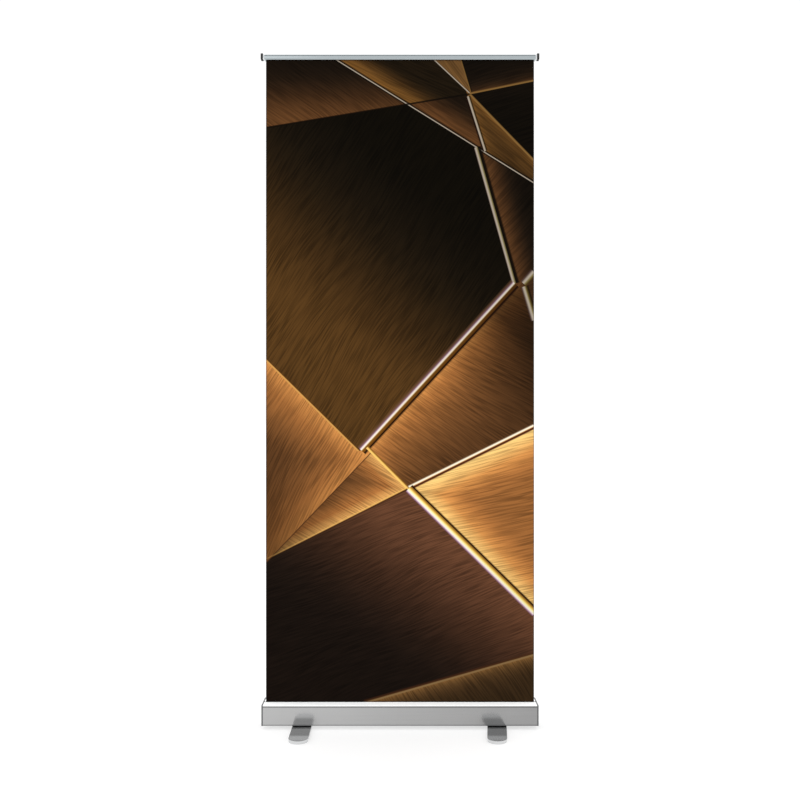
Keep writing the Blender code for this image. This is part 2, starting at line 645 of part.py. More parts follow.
def build_foot_fasteners(name, side):
    """The bolt up through a foot, with its washer under the base and nut inside it."""
    at = (side * FOOT_PIVOT_X, FOOT_PIVOT_Y)
    location = (at[0], at[1], 0.0)
    low, high = BOLT_HEAD_SPAN
    profile = [(0.0, BOLT_TOP), (BOLT_RADIUS - 0.0006, BOLT_TOP), (BOLT_RADIUS, BOLT_TOP - 0.0006)]
    profile += [(BOLT_RADIUS, high), (BOLT_HEAD, high), (BOLT_HEAD, low + 0.0006)]
    profile += [(BOLT_HEAD - 0.0006, low), (0.0, low)]
    turned("pivot_bolt_" + name, profile, location, "steel", closed=False, steps=24)
    turned("pivot_washer_" + name, ring(BOLT_RADIUS + GAP, WASHER_RADIUS, FOOT_HIGH + GAP, BASE_LOW - GAP),
           location, "black_plastic", steps=24)
    floor = BASE_LOW + BASE_WALL + GAP
    nut = cylinder("pivot_nut_" + name, NUT_RADIUS, floor, floor + NUT_HEIGHT, at=at, finish="steel", sides=6)
    thread = cylinder("nut_thread_" + name, BOLT_RADIUS + GAP, floor - 0.0010, floor + 0.0070,
                      at=at, sides=24)
    combine(nut, thread, "DIFFERENCE")


# ---------------------------------------------------------------- build

clear_scene()
PARTS = new_collection("roll_up_banner_stand")
CUTTERS = new_collection("cutters")
MATERIALS = {finish: make_material(finish) for finish in FINISHES}

build_housing()
build_felts()
build_end_cap("end_cap_left", -1, ROD_RADIUS)
build_end_cap("end_cap_right", 1, AXLE_RADIUS)
build_cap_screws("left", -1)
build_cap_screws("right", 1)
build_roller()
build_panel()
build_pole()
build_rail()
build_foot("foot_left", -1, 0.0)
build_foot("foot_right", 1, -FOOT_TOE_IN)
build_foot_fasteners("left", -1)
build_foot_fasteners("right", 1)
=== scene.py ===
"""Looks of a roll-up banner stand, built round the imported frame.

The frame gives every place and size. This file adds the printed sheet, the fine shapes
of the metal and plastic pieces, their finishes, the floor, the light and the camera.
"""
import logging
import math
from dataclasses import dataclass, field
from enum import Enum

import bmesh
import bpy
from mathutils import Matrix, Vector


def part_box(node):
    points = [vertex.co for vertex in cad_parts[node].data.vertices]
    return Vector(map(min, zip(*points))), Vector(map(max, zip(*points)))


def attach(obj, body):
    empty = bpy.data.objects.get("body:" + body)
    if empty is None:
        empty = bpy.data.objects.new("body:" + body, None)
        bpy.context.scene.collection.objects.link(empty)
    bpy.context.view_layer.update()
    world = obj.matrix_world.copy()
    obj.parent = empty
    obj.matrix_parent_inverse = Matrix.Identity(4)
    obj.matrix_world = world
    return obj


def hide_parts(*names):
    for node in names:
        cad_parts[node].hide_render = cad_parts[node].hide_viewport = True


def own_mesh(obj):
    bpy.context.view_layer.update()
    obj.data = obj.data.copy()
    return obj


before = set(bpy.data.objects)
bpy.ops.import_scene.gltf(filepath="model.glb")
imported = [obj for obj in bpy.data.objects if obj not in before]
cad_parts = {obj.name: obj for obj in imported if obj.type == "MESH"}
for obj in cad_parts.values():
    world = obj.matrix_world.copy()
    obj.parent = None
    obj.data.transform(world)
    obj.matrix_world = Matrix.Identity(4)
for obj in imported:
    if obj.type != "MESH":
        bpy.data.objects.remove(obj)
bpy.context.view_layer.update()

LOG = logging.getLogger("banner_stand")

Rgb = tuple[float, float, float]
Pair = tuple[float, float]
Point = tuple[float, float, float]
MM = 0.001
WELD = 0.005 * MM         # points this near are one
FINE_WELD = 0.002 * MM    # the same, on turned pieces
FLAT = 0.01 * MM          # how far a flat face's points may stray


# ------------------------------------------------------------------ small helpers
def srgb(red: float, green: float, blue: float) -> Rgb:
    """Turn display values of 0 to 255 into the linear colour that a shader wants.

    Args:
        red, green, blue: the colour as a screen shows it.

    Returns:
        The same colour in linear light.
    """
    shares = [value / 255 for value in (red, green, blue)]
    return tuple(s / 12.92 if s <= 0.04045 else ((s + 0.055) / 1.055) ** 2.4 for s in shares)


def arc(centre: Pair, radius: float, start: float, end: float, steps: int) -> list[Pair]:
    """Points of an arc in a plane, with both ends.

    Args:
        centre: the arc's centre.
        radius: its radius.
        start, end: its first and last angle, in degrees.
        steps: how many straight runs it has.

    Returns:
        The points, in order.
    """
    turns = [math.radians(start + (end - start) * index / steps) for index in range(steps + 1)]
    return [(centre[0] + radius * math.cos(t), centre[1] + radius * math.sin(t)) for t in turns]


def rounded_box(low: Pair, high: Pair, radius: float, steps: int = 8) -> list[Pair]:
    """Outline of a rectangle with round corners.

    Args:
        low, high: its lowest and highest corner.
        radius: the corners' radius.
        steps: runs in each corner.

    Returns:
        The outline, anticlockwise.
    """
    corners = ((high[0], high[1], 0), (low[0], high[1], 90), (low[0], low[1], 180), (high[0], low[1], 270))
    points = []
    for across, up, start in corners:
        centre = (across - math.copysign(radius, across - (low[0] + high[0]) / 2),
                  up - math.copysign(radius, up - (low[1] + high[1]) / 2))
        points += arc(centre, radius, start, start + 90, steps)
    return points


# ------------------------------------------------------------------ node graphs
class Value:
    """A number in a node graph, on which sums add Math nodes."""

    def __init__(self, graph: "Graph", socket: bpy.types.NodeSocket) -> None:
        """Keep the graph and the socket that gives the number."""
        self.graph = graph
        self.socket = socket

    def maths(self, operation: str, *others: "Value | float", clamp: bool = False) -> "Value":
        """Add one Math node.

        Args:
            operation: its operation.
            others: the second and third value.
            clamp: whether the result stays from 0 to 1.

        Returns:
            The node's result.
        """
        node = self.graph.node("ShaderNodeMath", {"operation": operation, "use_clamp": clamp},
                               dict(enumerate((self, *others))))
        return Value(self.graph, node.outputs[0])

    def __add__(self, other: "Value | float") -> "Value":
        """Sum."""
        return self.maths("ADD", other)

    def __sub__(self, other: "Value | float") -> "Value":
        """Difference."""
        return self.maths("SUBTRACT", other)

    def __mul__(self, other: "Value | float") -> "Value":
        """Product."""
        return self.maths("MULTIPLY", other)

    def __truediv__(self, other: "Value | float") -> "Value":
        """Quotient."""
        return self.maths("DIVIDE", other)

    def __rsub__(self, other: float) -> "Value":
        """Number less this value."""
        return (self * -1.0) + other

    __radd__ = __add__
    __rmul__ = __mul__

    def __abs__(self) -> "Value":
        """Size without sign."""
        return self.maths("ABSOLUTE")

    def power(self, other: "Value | float") -> "Value":
        """This value to a power."""
        return self.maths("POWER", other)

    def lowest(self, other: "Value | float") -> "Value":
        """The smaller of two."""
        return self.maths("MINIMUM", other)

    def wave(self) -> "Value":
        """Sine, in radians."""
        return self.maths("SINE")

    def cosine(self) -> "Value":
        """Cosine, in radians."""
        return self.maths("COSINE")

    def rise(self, edge: float, width: float) -> "Value":
        """Go from 0 to 1 across an edge.

        Args:
            edge: where the result is one half.
            width: how wide the passage is; a negative width goes from 1 to 0.

        Returns:
            The mask.
        """
        return self.maths("MULTIPLY_ADD", 1.0 / width, 0.5 - edge / width, clamp=True)


Input = Value | bpy.types.NodeSocket | float | int | tuple | str | bool


class Graph:
    """A node tree, and the one method that adds nodes to it."""

    def __init__(self, tree: bpy.types.NodeTree) -> None:
        """Keep the tree."""
        self.tree = tree

    def node(self, kind: str, settings: dict | None = None,
             inputs: dict[str | int, Input] | None = None) -> bpy.types.Node:
        """Add a node, set it, and then feed its sockets.

        Args:
            kind: the node's type.
            settings: its own settings.
            inputs: values or links for its sockets, by identifier, name or number.

        Returns:
            The node.
        """
        node = self.tree.nodes.new(kind)
        for name, value in (settings or {}).items():
            setattr(node, name, value)
        for key, value in (inputs or {}).items():
            self.feed(self.find(node, key), value)
        return node

    @staticmethod
    def find(node: bpy.types.Node, key: str | int) -> bpy.types.NodeSocket:
        """Find an input socket by its number, identifier or name."""
        if isinstance(key, int):
            return node.inputs[key]
        for socket in node.inputs:
            if socket.identifier == key:
                return socket
        return node.inputs[key]

    def feed(self, socket: bpy.types.NodeSocket, value: Input) -> None:
        """Link a socket to a value, or set it."""
        if isinstance(value, Value):
            self.tree.links.new(value.socket, socket)
        elif isinstance(value, bpy.types.NodeSocket):
            self.tree.links.new(value, socket)
        elif isinstance(value, tuple) and len(value) == 3 and socket.type == "RGBA":
            socket.default_value = (*value, 1.0)
        else:
            socket.default_value = value

    def ramp(self, position: Value, stops: list[tuple[float, Rgb, float]]) -> bpy.types.Node:
        """Add a colour ramp.

        Args:
            position: where on the ramp, in the stops' own units.
            stops: place, colour and cover of each stop, in order.

        Returns:
            The ramp, with its Color and Alpha outputs.
        """
        first, last = stops[0][0], stops[-1][0]
        share = position.maths("MULTIPLY_ADD", 1 / (last - first), -first / (last - first))
        node = self.node("ShaderNodeValToRGB", {}, {0: share})
        elements = node.color_ramp.elements
        while len(elements) < len(stops):
            elements.new(1.0)
        for element, (place, colour, cover) in zip(elements, stops):
            element.position = (place - first) / (last - first)
            element.color = (*colour, cover)
        return node

    def blend(self, share: Input, below: Input, above: Input, how: str = "MIX") -> bpy.types.NodeSocket:
        """Mix two colours.

        Args:
            share: how much of the second one.
            below, above: the colours.
            how: the blend.

        Returns:
            The mixed colour.
        """
        node = self.node("ShaderNodeMix", {"data_type": "RGBA", "blend_type": how},
                         {"Factor_Float": share, "A_Color": below, "B_Color": above})
        return next(s for s in node.outputs if s.identifier == "Result_Color")

    def noise(self, vector: Input, scale: float, detail: float = 2.0, roughness: float = 0.5) -> Value:
        """Add a noise texture and give its value."""
        node = self.node("ShaderNodeTexNoise", {},
                         {"Vector": vector, "Scale": scale, "Detail": detail, "Roughness": roughness})
        return Value(self, node.outputs[0])

    def stretched(self, vector: Input, scale: Point) -> bpy.types.NodeSocket:
        """Scale a texture's coordinates."""
        return self.node("ShaderNodeMapping", {}, {"Vector": vector, "Scale": scale}).outputs[0]

    def part(self, vector: Input, axis: int) -> Value:
        """One part of a vector: 0 to 2 for its x, y or z."""
        return Value(self, self.node("ShaderNodeSeparateXYZ", {}, {0: vector}).outputs[axis])

    def grey(self, value: Value) -> bpy.types.NodeSocket:
        """Turn a number into a grey colour."""
        return self.node("ShaderNodeCombineXYZ", {}, {0: value, 1: value, 2: value}).outputs[0]


class Surface(Graph):
    """A new material with a Principled shader."""

    def __init__(self, name: str, shader: dict[str, Input]) -> None:
        """Make the material.

        Args:
            name: its name.
            shader: constants for the Principled shader's sockets.
        """
        self.material = bpy.data.materials.new(name)
        self.material.use_nodes = True
        super().__init__(self.material.node_tree)
        self.shader = self.tree.nodes["Principled BSDF"]
        for key, value in shader.items():
            self.feed(self.shader.inputs[key], value)
        self.place = self.node("ShaderNodeTexCoord").outputs["Object"]

    def drive(self, key: str, value: Input) -> None:
        """Feed one socket of the shader."""
        self.feed(self.shader.inputs[key], value)

    def bump(self, height: Value, strength: float, distance: float) -> None:
        """Feed the shader's normal from a height."""
        node = self.node("ShaderNodeBump", {}, {"Strength": strength, "Distance": distance, "Height": height})
        self.drive("Normal", node.outputs[0])


class GeometryProgram(Graph):
    """A Geometry Nodes tree that is run once to give a plain mesh."""

    def __init__(self, name: str) -> None:
        """Start an empty tree with one geometry output."""
        super().__init__(bpy.data.node_groups.new(name, "GeometryNodeTree"))
        self.tree.interface.new_socket("Geometry", in_out="OUTPUT", socket_type="NodeSocketGeometry")
        self.entry = self.node("NodeGroupInput")
        self.exit = self.node("NodeGroupOutput")
        self.keys: dict[str, str] = {}

    def size(self, name: str, kind: str = "NodeSocketFloat") -> Value:
        """Add a named input.

        Args:
            name: what a person calls it.
            kind: the socket's type.

        Returns:
            The input as a value.
        """
        socket = self.tree.interface.new_socket(name, in_out="INPUT", socket_type=kind)
        self.keys[name] = socket.identifier
        return Value(self, next(s for s in self.entry.outputs if s.identifier == socket.identifier))

    def vector(self, x: Input = 0.0, y: Input = 0.0, z: Input = 0.0) -> bpy.types.NodeSocket:
        """Join three numbers into a vector."""
        return self.node("ShaderNodeCombineXYZ", {}, {0: x, 1: y, 2: z}).outputs[0]

    def make(self, name: str, geometry: Input, material: bpy.types.Material,
             values: dict[str, float | int]) -> bpy.types.Object:
        """Close the tree and run it.

        Args:
            name: the new piece's name.
            geometry: what the tree makes.
            material: the finish that it sets.
            values: the named inputs.

        Returns:
            A piece with a plain mesh.
        """
        solid = self.node("GeometryNodeRealizeInstances", {}, {0: geometry}).outputs[0]
        dressed = self.node("GeometryNodeSetMaterial", {}, {"Geometry": solid, "Material": material})
        self.tree.links.new(dressed.outputs[0], self.exit.inputs[0])
        host = bpy.data.objects.new(name + "_host", bpy.data.meshes.new(name + "_host"))
        modifier = host.modifiers.new("Program", "NODES")
        modifier.node_group = self.tree
        for key, value in values.items():
            modifier[self.keys[key]] = value
        bpy.context.scene.collection.objects.link(host)
        bpy.context.view_layer.update()
        graph = bpy.context.evaluated_depsgraph_get()
        mesh = bpy.data.meshes.new_from_object(host.evaluated_get(graph))
        host.modifiers.remove(modifier)
        bpy.data.objects.remove(host, do_unlink=True)
        return piece_of(name, mesh, [material])


# ------------------------------------------------------------------ finishes
@dataclass(frozen=True)
class Anodised:
    """Satin anodised aluminium with a drawn grain along one axis; drift paints shade on it, darker towards
    one end, standing in for the light falling off along the piece.
    """

    name: str
    tint: Rgb
    roughness: float = 0.2
    along: str = "X"
    # drift is painted shade: how much darker the far end is, in place of the light's falloff along the piece.
    drift: float = 0.0
    drift_middle: float = 0.12
    drift_width: float = 0.62
    fine: float = 900.0
    slow: float = 6.0

    def make(self) -> bpy.types.Material:
        """Build the material and return it."""
        surface = Surface(self.name, {"Metallic": 1.0})
        scale = tuple(self.slow if axis == self.along else self.fine for axis in "XYZ")
        drawn = surface.noise(surface.stretched(surface.place, scale), 1.0, 3.0)
        cloud = surface.noise(surface.place, 9.0, 2.0)
        shade = 0.93 + drawn * 0.08 + cloud * 0.06
        # Painted shade: the colour darkens along X towards one end, in place of the light's falloff.
        if self.drift:
            painted_falloff_share = surface.part(surface.place, 0).rise(self.drift_middle, self.drift_width)
            shade = shade - painted_falloff_share * self.drift
        surface.drive("Base Color", surface.blend(1.0, self.tint, surface.grey(shade), "MULTIPLY"))
        surface.drive("Roughness", self.roughness - 0.05 + drawn * 0.07 + cloud * 0.03)
        surface.bump(drawn, 0.06, 0.00004)
        return surface.material


@dataclass(frozen=True)
class Moulded:
    """Moulded plastic or rubber with a fine spark texture and faint handling marks; lift, if set, makes it
    glow as painted light.
    """

    name: str
    tint: Rgb
    roughness: float = 0.45
    grain: float = 2600.0
    depth: float = 0.00005
    gloss: float = 0.4
    # lift is painted light: an even white glow that brightens the piece though it is no lamp.
    lift: float = 0.0

    def make(self) -> bpy.types.Material:
        """Build the material and return it."""
        surface = Surface(self.name, {"Metallic": 0.0, "Specular IOR Level": self.gloss})
        # Painted light: white emission that lifts the piece's brightness.
        if self.lift:
            surface.drive("Emission Color", (1.0, 1.0, 1.0))
            surface.drive("Emission Strength", self.lift)
        spark = surface.noise(surface.place, self.grain, 2.0, 0.6)
        marks = surface.noise(surface.place, 38.0, 4.0, 0.7)
        shade = 0.86 + spark * 0.12 + marks * 0.16
        surface.drive("Base Color", surface.blend(1.0, self.tint, surface.grey(shade), "MULTIPLY"))
        surface.drive("Roughness", self.roughness - 0.08 + marks * 0.16)
        surface.bump(spark, 0.35, self.depth)
        return surface.material


@dataclass(frozen=True)
class Plate:
    """Polished or plated steel with fine hairlines; if asked, painted shade makes it darker near the middle
    of its depth, in place of the base's shadow and dark reflection.
    """

    name: str
    tint: Rgb
    roughness: float = 0.16
    hairline: Point = (700.0, 22.0, 700.0)
    # dusk is painted shade: how much darker the plate is where it runs under and just in front of the base.
    dusk: float = 0.0
    dusk_end: float = 0.104
    dusk_width: float = 0.016

    def make(self) -> bpy.types.Material:
        """Build the material and return it."""
        surface = Surface(self.name, {"Metallic": 1.0})
        hair = surface.noise(surface.stretched(surface.place, self.hairline), 1.0, 4.0, 0.65)
        haze = surface.noise(surface.place, 26.0, 3.0, 0.6)
        shade = 0.9 + hair * 0.1 + haze * 0.1
        # Painted shade: darker where |y| is small, under and near the base, standing in for its shadow and
        # its dark underside reflected in the plate.
        if self.dusk:
            reach = abs(surface.part(surface.place, 1))
            shade = shade * (1 - reach.rise(self.dusk_end, -self.dusk_width) * self.dusk)
        surface.drive("Base Color", surface.blend(1.0, self.tint, surface.grey(shade), "MULTIPLY"))
        surface.drive("Roughness", self.roughness - 0.05 + hair * 0.06 + haze * 0.06)
        surface.bump(hair, 0.08, 0.00004)
        return surface.material


@dataclass(frozen=True)
class Woven:
    """A matt cloth-like surface with crossing threads: the sheet's back and the pile."""

    name: str
    tint: Rgb
    thread: float = 0.0009

    def make(self) -> bpy.types.Material:
        """Build the material and return it."""
        surface = Surface(self.name, {"Metallic": 0.0, "Specular IOR Level": 0.2})
        pitch = 2 * math.pi / self.thread
        warp, weft = ((surface.part(surface.place, axis) * pitch).wave() for axis in (0, 2))
        weave = warp * weft
        cloud = surface.noise(surface.place, 14.0, 3.0)
        shade = 0.98 + weave * 0.03 + cloud * 0.02
        surface.drive("Base Color", surface.blend(1.0, self.tint, surface.grey(shade), "MULTIPLY"))
        surface.drive("Roughness", 0.7 + cloud * 0.15)
        surface.bump(weave, 0.15, 0.00005)
        return surface.material


class Finish(Enum):
    """The finishes of the stand's pieces."""

    # Painted shade: drift darkens the base towards its right end, standing in for the front-left light
    # falling off across it.
    BASE = Anodised("base_satin_silver", srgb(182, 182, 182), 0.13, drift=0.32)
    RAIL = Anodised("rail_satin_silver", srgb(169, 177, 180), 0.26)
    POLE = Anodised("pole_satin_silver", srgb(205, 207, 210), 0.26, "Z")
    # Painted light: lift makes the base's top glow white, standing in for the light that the sheet behind it
    # blocks.
    TOP = Moulded("base_top_matt_white", srgb(253, 254, 254), 0.7, 1800.0, gloss=0.05, lift=0.3)
    CAP = Moulded("end_cap_grey", srgb(98, 99, 100), 0.45)
    # Painted shade: a dark grey laid in the front grooves, where shade would fall.
    INLAY = Moulded("front_groove_inlay", srgb(88, 89, 90), 0.6, gloss=0.1)
    BLACK = Moulded("black_plastic", srgb(15, 15, 16), 0.5, gloss=0.14)
    NYLON = Moulded("pale_nylon", srgb(222, 226, 228), 0.4)
    RUBBER = Moulded("pad_rubber", srgb(24, 24, 24), 0.8, 900.0, 0.0001)
    # Painted shade: dusk darkens each foot under and just in front of the base.
    FOOT = Plate("foot_polished_plate", srgb(214, 215, 216), 0.12, dusk=0.56)
    ZINC = Plate("zinc_fastener", srgb(190, 192, 196), 0.26, (300.0, 300.0, 300.0))
    BACK = Woven("film_back_pale", srgb(214, 215, 214))
    PILE = Woven("slot_pile", srgb(206, 208, 208), 0.0006)

    def material(self) -> bpy.types.Material:
        """The finish's material, made the first time that it is asked for."""
        return bpy.data.materials.get(self.value.name) or self.value.make()


# ------------------------------------------------------------------ mesh work
def piece_of(name: str, mesh: bpy.types.Mesh,
             materials: list[bpy.types.Material] | None = None) -> bpy.types.Object:
    """Put a mesh in the scene as a piece.

    Args:
        name: the piece's name.
        mesh: its mesh, in place.
        materials: its finishes.

    Returns:
        The piece.
    """
    piece = bpy.data.objects.new(name, mesh)
    bpy.context.scene.collection.objects.link(piece)
    if materials:
        mesh.materials.clear()
        for material in materials:
            mesh.materials.append(material)
    return piece


def settle(piece: bpy.types.Object, angle: float = 32.0) -> bpy.types.Object:
    """Apply a piece's modifiers and place, and shade it smooth but for its sharp edges.

    Args:
        piece: the piece, whose modifiers are done.
        angle: the least turn, in degrees, that stays sharp.

    Returns:
        A new piece of the same name, at the origin, with a plain mesh.
    """
    name = piece.name
    bpy.context.view_layer.update()
    graph = bpy.context.evaluated_depsgraph_get()
    mesh = bpy.data.meshes.new_from_object(piece.evaluated_get(graph))
    mesh.transform(piece.matrix_world)
    bpy.data.objects.remove(piece, do_unlink=True)
    mesh.shade_smooth()
    mesh.set_sharp_from_angle(angle=math.radians(angle))
    made = bpy.data.objects.new(name, mesh)
    bpy.context.scene.collection.objects.link(made)
    return made


def lathe(name: str, profile: list[Pair], centre: Point, finish: Finish, axis: str = "Z",
          turns: int = 72, side: float = 1.0) -> bpy.types.Object:
    """Turn a profile into a solid of revolution.

    Args:
        name: the piece's name.
        profile: (radius, height) points of a closed loop; a loop that starts and ends at
            radius 0 is solid.
        centre: the point on the axis that heights are measured from.
        finish: the piece's finish.
        axis: Z or X.
        turns: how many faces go round.
        side: -1 measures heights the other way.

    Returns:
        The piece.
    """
    shape = bmesh.new()
    points = [shape.verts.new((radius, 0.0, height * side)) for radius, height in profile]
    solid = profile[0][0] == 0.0 and profile[-1][0] == 0.0
    links = zip(points, points[1:] if solid else points[1:] + points[:1])
    edges = [shape.edges.new(pair) for pair in links]
    bmesh.ops.spin(shape, geom=points + edges, cent=(0, 0, 0), axis=(0, 0, 1), dvec=(0, 0, 0),
                   angle=2 * math.pi, steps=turns, use_duplicate=False)
    bmesh.ops.remove_doubles(shape, verts=shape.verts, dist=FINE_WELD)
    bmesh.ops.recalc_face_normals(shape, faces=shape.faces)
    if axis == "X":
        bmesh.ops.transform(shape, matrix=Matrix.Rotation(math.pi / 2, 4, "Y"), verts=shape.verts)
    bmesh.ops.translate(shape, vec=centre, verts=shape.verts)
    mesh = bpy.data.meshes.new(name)
    shape.to_mesh(mesh)
    shape.free()
    return settle(piece_of(name, mesh, [finish.material()]))


def extrude(name: str, outlines: list[list[Pair]], low: float, high: float, finish: Finish,
            axis: str = "X") -> bpy.types.Object:
    """Extrude a filled outline; further outlines are holes in it.

    Args:
        name: the piece's name.
        outlines: outlines in (y, z) for axis X, or in (x, y) for axis Z.
        low, high: where the extrusion starts and ends.
        finish: the piece's finish.
        axis: X or Z.

    Returns:
        The piece, with its caps welded on and its modifiers still to come.
    """
    curve = bpy.data.curves.new(name, "CURVE")
    curve.dimensions = "2D"
    curve.fill_mode = "BOTH"
    curve.extrude = (high - low) / 2
    for outline in outlines:
        spline = curve.splines.new("POLY")
        spline.points.add(len(outline) - 1)
        for point, (across, up) in zip(spline.points, outline):
            point.co = (across, up, 0.0, 1.0)
        spline.use_cyclic_u = True
    guide = bpy.data.objects.new(name + "_guide", curve)
    bpy.context.scene.collection.objects.link(guide)
    bpy.context.view_layer.update()
    graph = bpy.context.evaluated_depsgraph_get()
    mesh = bpy.data.meshes.new_from_object(guide.evaluated_get(graph))
    bpy.data.objects.remove(guide, do_unlink=True)
    shape = bmesh.new()
    shape.from_mesh(mesh)
    bmesh.ops.remove_doubles(shape, verts=shape.verts, dist=WELD)
    if axis == "X":
        turn = Matrix(((0, 0, 1, 0), (1, 0, 0, 0), (0, 1, 0, 0), (0, 0, 0, 1)))
        bmesh.ops.transform(shape, matrix=turn, verts=shape.verts)
        bmesh.ops.translate(shape, vec=((low + high) / 2, 0, 0), verts=shape.verts)
    else:
        bmesh.ops.translate(shape, vec=(0, 0, (low + high) / 2), verts=shape.verts)
    bmesh.ops.recalc_face_normals(shape, faces=shape.faces)
    shape.to_mesh(mesh)
    shape.free()
    return piece_of(name, mesh, [finish.material()])


def round_rim(piece: bpy.types.Object, axis: int, place: float, width: float, segments: int = 5) -> None:
    """Round the edges of a flat face.

    Args:
        piece: the piece, changed in place.
        axis: the face's axis, 0 to 2.
        place: where the face lies on that axis.
        width: the rounding's width.
        segments: its steps.
    """
    shape = bmesh.new()
    shape.from_mesh(piece.data)
    flat = [f for f in shape.faces if all(abs(v.co[axis] - place) < FLAT for v in f.verts)]
    rim = [e for f in flat for e in f.edges if sum(g in flat for g in e.link_faces) == 1]
    bmesh.ops.bevel(shape, geom=list(set(rim)), offset=width, offset_type="OFFSET", segments=segments,
                    profile=0.5, affect="EDGES", clamp_overlap=True)
    shape.to_mesh(piece.data)
    shape.free()


def carve(piece: bpy.types.Object, cutter: bpy.types.Object) -> None:
    """Take a cutter's shape out of a piece with a Boolean modifier."""
    modifier = piece.modifiers.new("Cut", "BOOLEAN")
    modifier.operation, modifier.solver, modifier.object = "DIFFERENCE", "EXACT", cutter


def cut(piece: bpy.types.Object, radius: float, low: float, high: float, at: Pair, axis: str = "Z",
        sides: int = 40) -> None:
    """Cut a round hole in a piece.

    Args:
        piece: the piece.
        radius: the hole's radius.
        low, high: where it starts and ends along its axis.
        at: its place across the axis.
        axis: Z or X.
        sides: how many faces go round.
    """
    shape = bmesh.new()
    bmesh.ops.create_cone(shape, cap_ends=True, segments=sides, radius1=radius, radius2=radius,
                          depth=high - low)
    middle = (low + high) / 2
    if axis == "X":
        bmesh.ops.transform(shape, matrix=Matrix.Rotation(math.pi / 2, 4, "Y"), verts=shape.verts)
    place = (at[0], at[1], middle) if axis == "Z" else (middle, at[0], at[1])
    bmesh.ops.translate(shape, vec=place, verts=shape.verts)
    mesh = bpy.data.meshes.new(piece.name + "_cutter")
    shape.to_mesh(mesh)
    shape.free()
    carve(piece, bpy.data.objects.new(piece.name + "_cutter", mesh))


def refined(node: str, name: str, finish: Finish, width: float, segments: int = 2) -> bpy.types.Object:
    """Copy a CAD node's mesh, clean it and break its edges.

    Args:
        node: the CAD node.
        name: the new piece's name.
        finish: its finish.
        width: the edges' rounding.
        segments: the rounding's steps.

    Returns:
        The piece.
    """
    shape = bmesh.new()
    shape.from_mesh(bpy.data.objects[node].data)
    bmesh.ops.remove_doubles(shape, verts=shape.verts, dist=WELD)
    bmesh.ops.dissolve_limit(shape, angle_limit=math.radians(0.5), verts=shape.verts, edges=shape.edges)
    mesh = bpy.data.meshes.new(name)
    shape.to_mesh(mesh)
    shape.free()
    piece = piece_of(name, mesh, [finish.material()])
    bevel = piece.modifiers.new("Edges", "BEVEL")
    bevel.width = width
    bevel.segments = segments
    bevel.limit_method = "ANGLE"
    bevel.angle_limit = math.radians(40)
    return settle(piece)


def span(node: str) -> tuple[Vector, Vector]:
    """Lowest and highest corner of a CAD node."""
    low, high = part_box(node)
    return Vector(low), Vector(high)


def deliver(piece: bpy.types.Object, body: str, slot: str, *nodes: str) -> bpy.types.Object:
    """Hand a finished piece to the frame.

    Args:
        piece: the piece.
        body: the body that it moves with.
        slot: the record's material slot; not used.
        nodes: the CAD nodes that it stands for.

    Returns:
        The piece.
    """
    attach(piece, body)
    if nodes:
        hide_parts(*nodes)
    LOG.info("%s: %d faces on %s", piece.name, len(piece.data.polygons), body)
    return piece


def dress(finish: Finish, *nodes: str) -> None:
    """Give CAD nodes a better material.

    Args:
        finish: the finish.
        nodes: the nodes, which keep their meshes.
    """
    for node in nodes:
        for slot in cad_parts[node].material_slots:
            slot.material = finish.material()


class Side(Enum):
    """The two ends of the stand."""

    LEFT = -1
    RIGHT = 1

    @property
    def word(self) -> str:
        """The side's name in piece names."""
        return self.name.lower()


# ------------------------------------------------------------------ the print
@dataclass(frozen=True)
class Line:
    """A straight line on the print: metres from its middle, and metres above the floor."""

    start: Pair
    end: Pair

    @property
    def length(self) -> float:
        """How long it is."""
        return math.dist(self.start, self.end)

    @property
    def run(self) -> Pair:
        """Its direction, as a unit vector."""
        return (self.end[0] - self.start[0]) / self.length, (self.end[1] - self.start[1]) / self.length

    def measured(self, place: "PrintPlace", unit: Pair) -> Value:
        """Distance from the line's start, measured along a unit vector."""
        offset = self.start[0] * unit[0] + self.start[1] * unit[1]
        graph = place.graph
        node = graph.node("ShaderNodeVectorMath", {"operation": "DOT_PRODUCT"},
                          {0: place.vector, 1: (unit[0], unit[1], 0.0)})
        return Value(graph, node.outputs["Value"]) - offset

    def beside(self, place: "PrintPlace") -> Value:
        """Distance from the line, positive on the left of its direction."""
        return self.measured(place, (-self.run[1], self.run[0]))

    def along(self, place: "PrintPlace") -> Value:
        """Distance along the line from its start."""
        return self.measured(place, self.run)


@dataclass(frozen=True)
class PrintPlace:
    """Where a point is on the print."""

    graph: Graph
    vector: bpy.types.NodeSocket
    across: Value
    height: Value


class Tone(Enum):
    """The colours of the print's strips, as a screen shows them."""

    INK = (10, 6, 3)
    GAP = (24, 8, 4)
    SEAM = (66, 38, 20)
    RUST = (80, 35, 19)
    BRONZE_DARK = (88, 52, 16)
    BRONZE = (124, 78, 22)
    BRASS = (176, 132, 56)
    GOLD = (240, 200, 90)
    LEMON = (254, 246, 180)
    SAND = (206, 152, 80)
    HONEY = (244, 198, 106)
    OLD_GOLD = (124, 92, 48)
    DULL = (126, 98, 62)
    OLIVE = (76, 60, 24)
    KHAKI = (128, 116, 74)
    HAZE = (112, 80, 58)
    DUSK = (72, 54, 50)
    MAUVE = (130, 92, 108)
    LILAC = (180, 144, 170)
    STEEL = (162, 150, 134)
    PEARL = (240, 222, 222)
    IVORY = (252, 242, 215)


WOOD = ((12, 8, 4), (30, 20, 11), (60, 38, 20), (100, 64, 34), (140, 90, 47), (180, 116, 60),
        (220, 150, 80), (255, 212, 130))


class Cast(Enum):
    """How much of its red, green and blue a panel's wood keeps."""

    PLAIN = (1.0, 1.0, 1.0)
    GREEN = (1.0, 1.05, 0.88)
    DUSTY = (0.98, 1.08, 1.1)
    COOL = (1.0, 1.0, 1.27)


